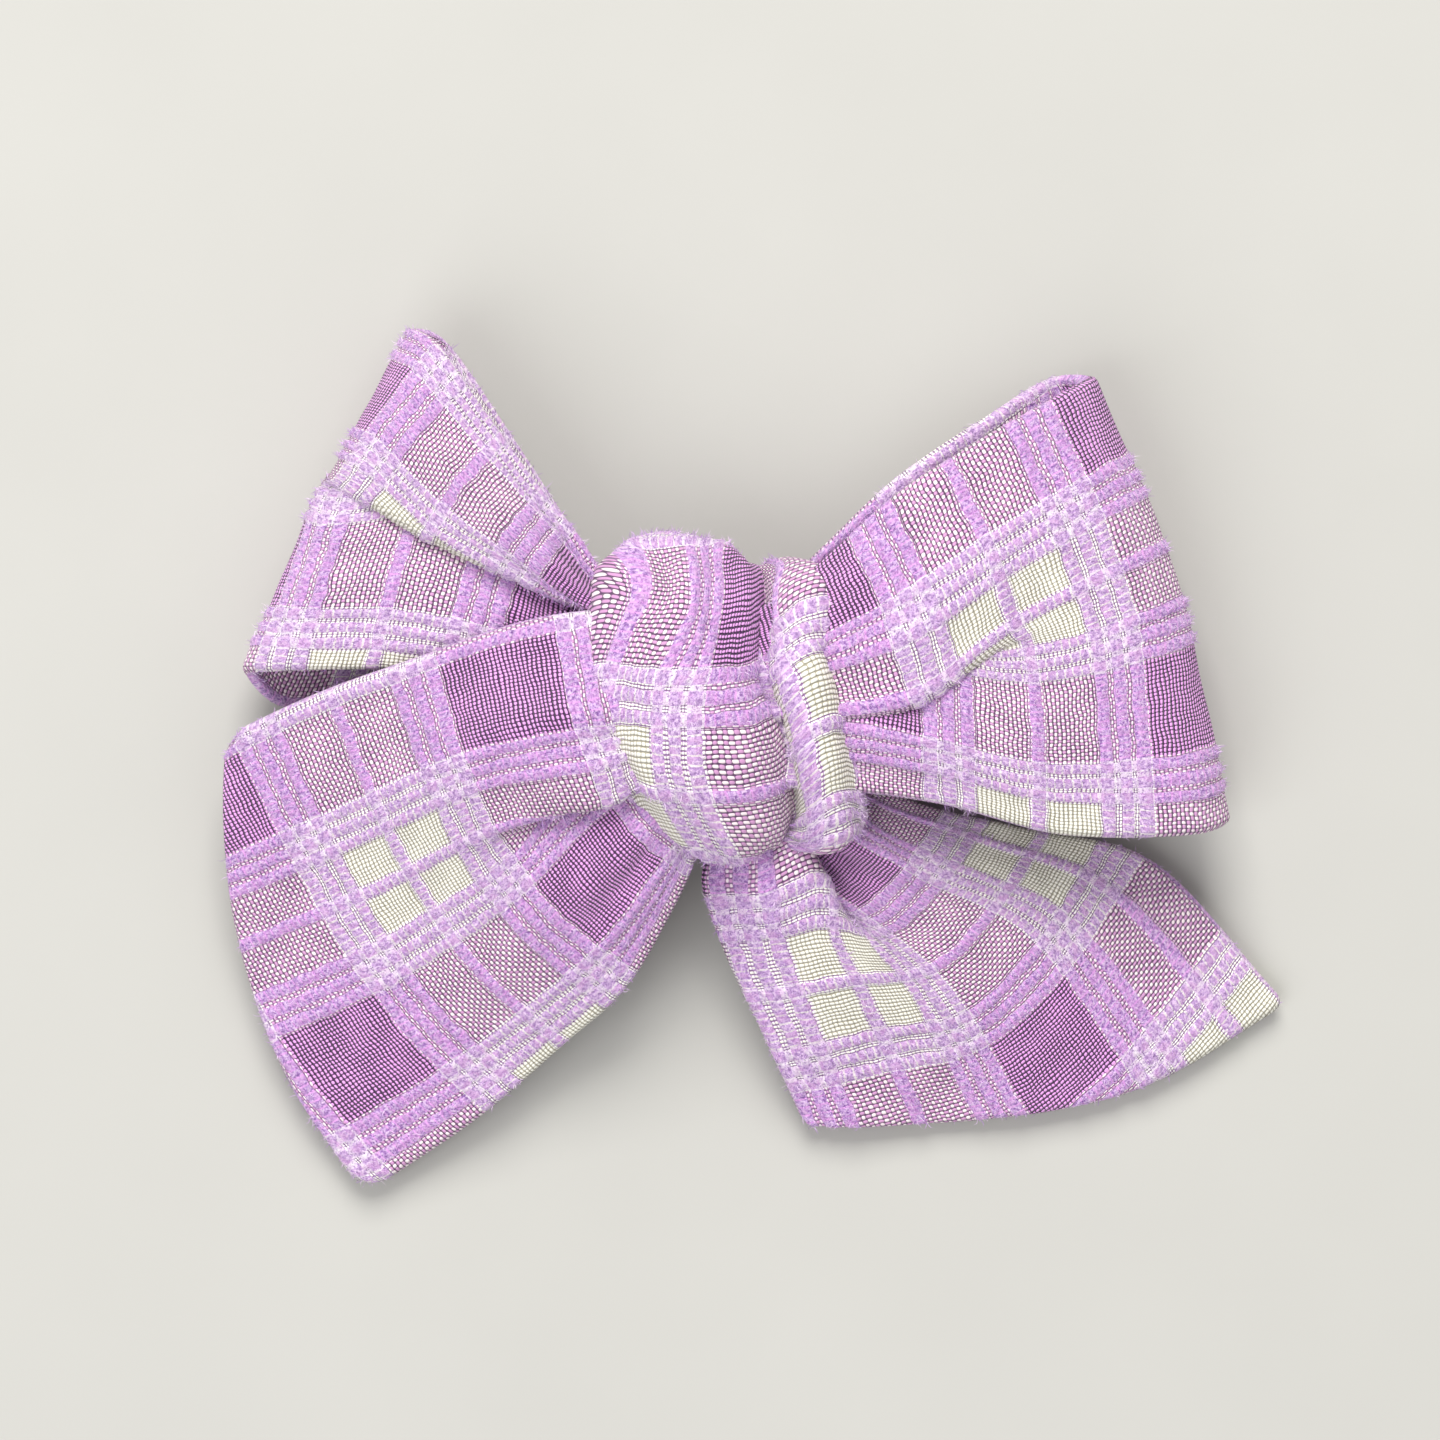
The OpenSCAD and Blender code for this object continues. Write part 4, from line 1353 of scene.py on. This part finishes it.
@dataclass
class RibbonLining:
    """Grosgrain ribbon glued along the top of the upper arm and folded under the thumb tab."""

    lift: float = 0.52
    under: float = 5.4
    shown_width: float = 9.5
    flat_width: float = 10.0
    thickness: float = 0.36
    step: float = 0.3

    def line(self, arm: np.ndarray) -> np.ndarray:
        """Lays the ribbon's middle over an arm's line and round its rear end.

        Args:
            arm: The arm's middle line, from the tip.

        Returns:
            Places along the clip, zeros and heights, one a row.
        """
        along = np.gradient(arm, axis=0)
        along /= np.linalg.norm(along, axis=1, keepdims=True)
        upward = np.stack([-along[:, 1], along[:, 0]], axis=1)
        top = (arm + self.lift * upward)[1:]
        out, ahead, up = arm[-1] + 0.1 * along[-1], along[-1], upward[-1]
        turn = np.radians(90 - 180 * np.arange(1, 8) / 8)[:, None]
        wrap = out + self.lift * (np.cos(turn) * ahead + np.sin(turn) * up)
        back = out - self.lift * up
        path = np.vstack([top, wrap, back, back - self.under * ahead])
        return np.insert(path, 1, 0.0, axis=1)

    def make(self, clip: Clip, grosgrain: bpy.types.Material) -> None:
        """Builds the ribbon, fixes it to the bow and logs its size.

        Args:
            clip: The clip whose upper arm it lines.
            grosgrain: Its material.
        """
        line = self.line(clip.arm_line())
        rows = int(arc(line)[-1] / self.step)
        line = resample(line, rows)
        run = arc(line)
        across = np.linspace(-0.5, 0.5, 33)
        wave = 0.1 * lattice_noise(run / 5, np.zeros_like(run), 3)
        place = np.repeat(line[:, None, :], len(across), axis=1)
        place[..., 1] = self.shown_width * across + wave[:, None]
        u, v = np.meshgrid(run, self.flat_width * across, indexing="ij")
        sheet = Cloth(place, np.stack([u, v], axis=-1), self.thickness, edge=0.2)
        piece = sheet.build("ribbon_lining_cloth", grosgrain, relief=False)
        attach(piece, Body.BOW.value)
        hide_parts("ribbon_lining")
        log.info("%s: %d faces, %.0f mm long", piece.name, len(piece.data.polygons), run[-1])


@dataclass
class GluePad:
    """The flattened blob of hot glue between the ribbon and the knot's back, in millimetres."""

    size: tuple = (14.0, 7.6, 0.62)
    bottom: float = 6.22
    unevenness: float = 0.16

    def make(self, glue: bpy.types.Material) -> None:
        """Squashes a ball of glue between the two pieces.

        Args:
            glue: Its material.
        """
        select_only()
        bpy.ops.mesh.primitive_uv_sphere_add(segments=40, ring_count=20, radius=0.5 * MM)
        piece = bpy.context.object
        bpy.ops.object.mode_set(mode="EDIT")
        bpy.ops.mesh.select_all(action="SELECT")
        bpy.ops.transform.resize(value=self.size)
        bpy.ops.transform.vertex_random(offset=self.unevenness * MM, uniform=0.6, normal=0.0, seed=4)
        bpy.ops.mesh.vertices_smooth(factor=0.5, repeat=2)
        bpy.ops.transform.translate(value=(0, 0, (self.bottom + self.size[2] / 2) * MM))
        bpy.ops.object.mode_set(mode="OBJECT")
        rounder = piece.modifiers.new("rounder", "SUBSURF")
        rounder.levels = 1
        bpy.ops.object.modifier_apply(modifier=rounder.name)
        settle(piece, "glue_pad_blob", glue, 180.0)
        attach(piece, Body.BOW.value)
        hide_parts("glue_pad")
        log.info("%s: %d faces", piece.name, len(piece.data.polygons))


@dataclass
class TieThread:
    """The two-ply thread wound three times round the gathered strip inside the knot, in millimetres."""

    half_height: float = 9.15
    low: float = 8.44
    high: float = 17.24
    corner: float = 1.0
    turns: int = 3
    pitch: float = 0.55
    ply_radius: float = 0.145
    ply_offset: float = 0.12
    twist: float = 1.3
    sides: int = 7
    step: float = 0.14

    def line(self) -> np.ndarray:
        """Winds the thread round the gathered strip.

        Returns:
            The thread's middle, one point a row.
        """
        reach, centre = self.half_height - self.corner, (self.low + self.high) / 2
        rise = (self.high - self.low) / 2 - self.corner
        points = []
        for y_side, z_side, first in ((1, 1, 0), (-1, 1, 90), (-1, -1, 180), (1, -1, 270)):
            for turn in np.radians(np.linspace(first, first + 90, 7)):
                points.append((y_side * reach + self.corner * math.cos(turn),
                               centre + z_side * rise + self.corner * math.sin(turn)))
        loop = np.array(points + points[:1])
        rounds = np.vstack([loop[:-1]] * self.turns + [loop[:1]])
        run = np.concatenate([[0.0], np.cumsum(np.linalg.norm(np.diff(rounds, axis=0), axis=1))])
        x = (run / run[-1] - 0.5) * self.turns * self.pitch
        return np.hstack([x[:, None], rounds])

    def ply(self, line: np.ndarray, phase: float) -> np.ndarray:
        """Twists one ply round the thread's middle.

        Args:
            line: The thread's middle, evenly sampled.
            phase: Where on the thread the ply starts, in radians.

        Returns:
            Rings round the ply, as samples by sides by three.
        """
        def frames(path: np.ndarray) -> tuple[np.ndarray, np.ndarray]:
            """Gives two directions square to a path.

            Args:
                path: Points, one a row.

            Returns:
                The two unit directions at each point.
            """
            ahead = np.gradient(path, axis=0)
            ahead /= np.linalg.norm(ahead, axis=1, keepdims=True)
            side = np.cross(ahead, [1.0, 0.0, 0.0])
            side /= np.linalg.norm(side, axis=1, keepdims=True)
            return side, np.cross(side, ahead)
        side, up = frames(line)
        turn = (2 * math.pi * arc(line) / self.twist + phase)[:, None]
        path = line + self.ply_offset * (np.cos(turn) * side + np.sin(turn) * up)
        side, up = frames(path)
        around = 2 * math.pi * np.arange(self.sides) / self.sides
        return path[:, None] + self.ply_radius * (
            np.cos(around)[None, :, None] * side[:, None] + np.sin(around)[None, :, None] * up[:, None])

    def make(self, floss: bpy.types.Material) -> None:
        """Builds both plies as one piece.

        Args:
            floss: Their material.
        """
        line = self.line()
        line = resample(line, int(arc(line)[-1] / self.step))
        points, faces = [], []
        for phase in (0.0, math.pi):
            rings = self.ply(line, phase)
            count = len(rings)
            first = len(points) * count * self.sides
            number = first + np.arange(count * self.sides).reshape(count, self.sides)
            after = np.roll(number, -1, axis=1)
            faces.append(np.stack([number[:-1], after[:-1], after[1:], number[1:]], axis=-1).reshape(-1, 4))
            for ring, turned in ((number[0], True), (number[-1], False)):
                fan = [(ring[0], ring[k], ring[k + 1], ring[k + 1]) for k in range(1, self.sides - 1)]
                faces.append(np.array([(a, c, b, b) if turned else (a, b, c, c) for a, b, c, _ in fan]))
            points.append(rings.reshape(-1, 3))
        faces = np.vstack(faces)
        piece = mesh_piece("tie_thread_floss", np.vstack(points), faces, np.zeros((len(faces), 4, 2)), floss)
        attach(piece, Body.BOW.value)
        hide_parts("tie_thread")
        log.info("%s: %d faces", piece.name, len(piece.data.polygons))


# ---------------------------------------------------------------- floor, light and camera


@dataclass
class Studio:
    """A pale floor under soft light, with the camera straight above."""

    distance: float = 600.0
    field_mm: float = 144.0
    centre: tuple = (-1.0, -2.0)
    focus_height: float = 12.0
    floor_size: float = 1.6

    def build(self) -> None:
        """Makes the floor, the lights and the camera."""
        bpy.ops.object.select_all(action="DESELECT")
        bpy.ops.mesh.primitive_plane_add(size=self.floor_size, location=(0, 0, -0.00005))
        floor = bpy.context.object
        floor.name = "floor"
        floor.data.transform(floor.matrix_world)
        floor.matrix_world.identity()
        paper = PlainFinish(linear(190, 189, 184), linear(183, 182, 177), 30.0, 0.8)
        floor.data.materials.append(paper.build("floor"))
        self.lamp("window", (-0.05, 0.8, 0.85), 0.65, 14.4, (1.0, 0.985, 0.955))
        self.lamp("fill", (-0.5, -0.5, 0.9), 0.9, 6.4, (0.98, 0.985, 1.0))
        world = bpy.data.worlds.new("studio")
        world.use_nodes = True
        world.node_tree.nodes["Background"].inputs[0].default_value = (1, 1, 1, 1)
        world.node_tree.nodes["Background"].inputs[1].default_value = 0.53
        bpy.context.scene.world = world
        camera = bpy.data.cameras.new("camera")
        camera.sensor_width = 36.0
        camera.lens = 36.0 * self.distance / self.field_mm
        holder = bpy.data.objects.new("camera", camera)
        holder.location = (self.centre[0] * MM, self.centre[1] * MM, (self.focus_height + self.distance) * MM)
        bpy.context.scene.collection.objects.link(holder)
        bpy.context.scene.camera = holder
        camera.clip_start = 0.01
        bpy.context.scene.view_settings.view_transform = "Standard"

    def lamp(self, name: str, place: tuple, size: float, power: float, colour: tuple) -> None:
        """Adds one soft square light that faces the bow.

        Args:
            name: Its name.
            place: Where it hangs, in metres.
            size: Length of its side, in metres.
            power: In watts.
            colour: Its tint.
        """
        light = bpy.data.lights.new(name, "AREA")
        light.size = size
        light.energy = power
        light.color = colour
        holder = bpy.data.objects.new(name, light)
        holder.location = place
        holder.rotation_euler = (-Vector(place)).to_track_quat("-Z", "Y").to_euler()
        bpy.context.scene.collection.objects.link(holder)


def main() -> None:
    """Builds the studio, the clip with its fastenings, and the bow."""
    Studio().build()
    clip = Clip()
    clip.make(MetalFinish(linear(214, 216, 220), 0.16, 0.34).build("nickel"))
    TorsionSpring().make(MetalFinish(linear(196, 197, 200), 0.2, 0.38).build("spring steel"))
    RibbonLining().make(clip, RibbonFinish().build("grosgrain"))
    glue = PlainFinish(linear(236, 230, 212), linear(214, 206, 184), 600.0, 0.3, 0.00004)
    GluePad().make(glue.build("glue"))
    floss = PlainFinish(linear(240, 236, 238), linear(214, 206, 214), 3000.0, 0.7)
    TieThread().make(floss.build("floss"))
    plaid = PlaidFinish().build("plaid")
    pile = PileFinish().build("chenille pile")
    for wing in (LEFT_TAIL, RIGHT_TAIL, LEFT_LOOP, RIGHT_LOOP):
        wing.make(plaid, pile)
    Knot().make(plaid, pile)


if __name__ == "__main__":
    main()
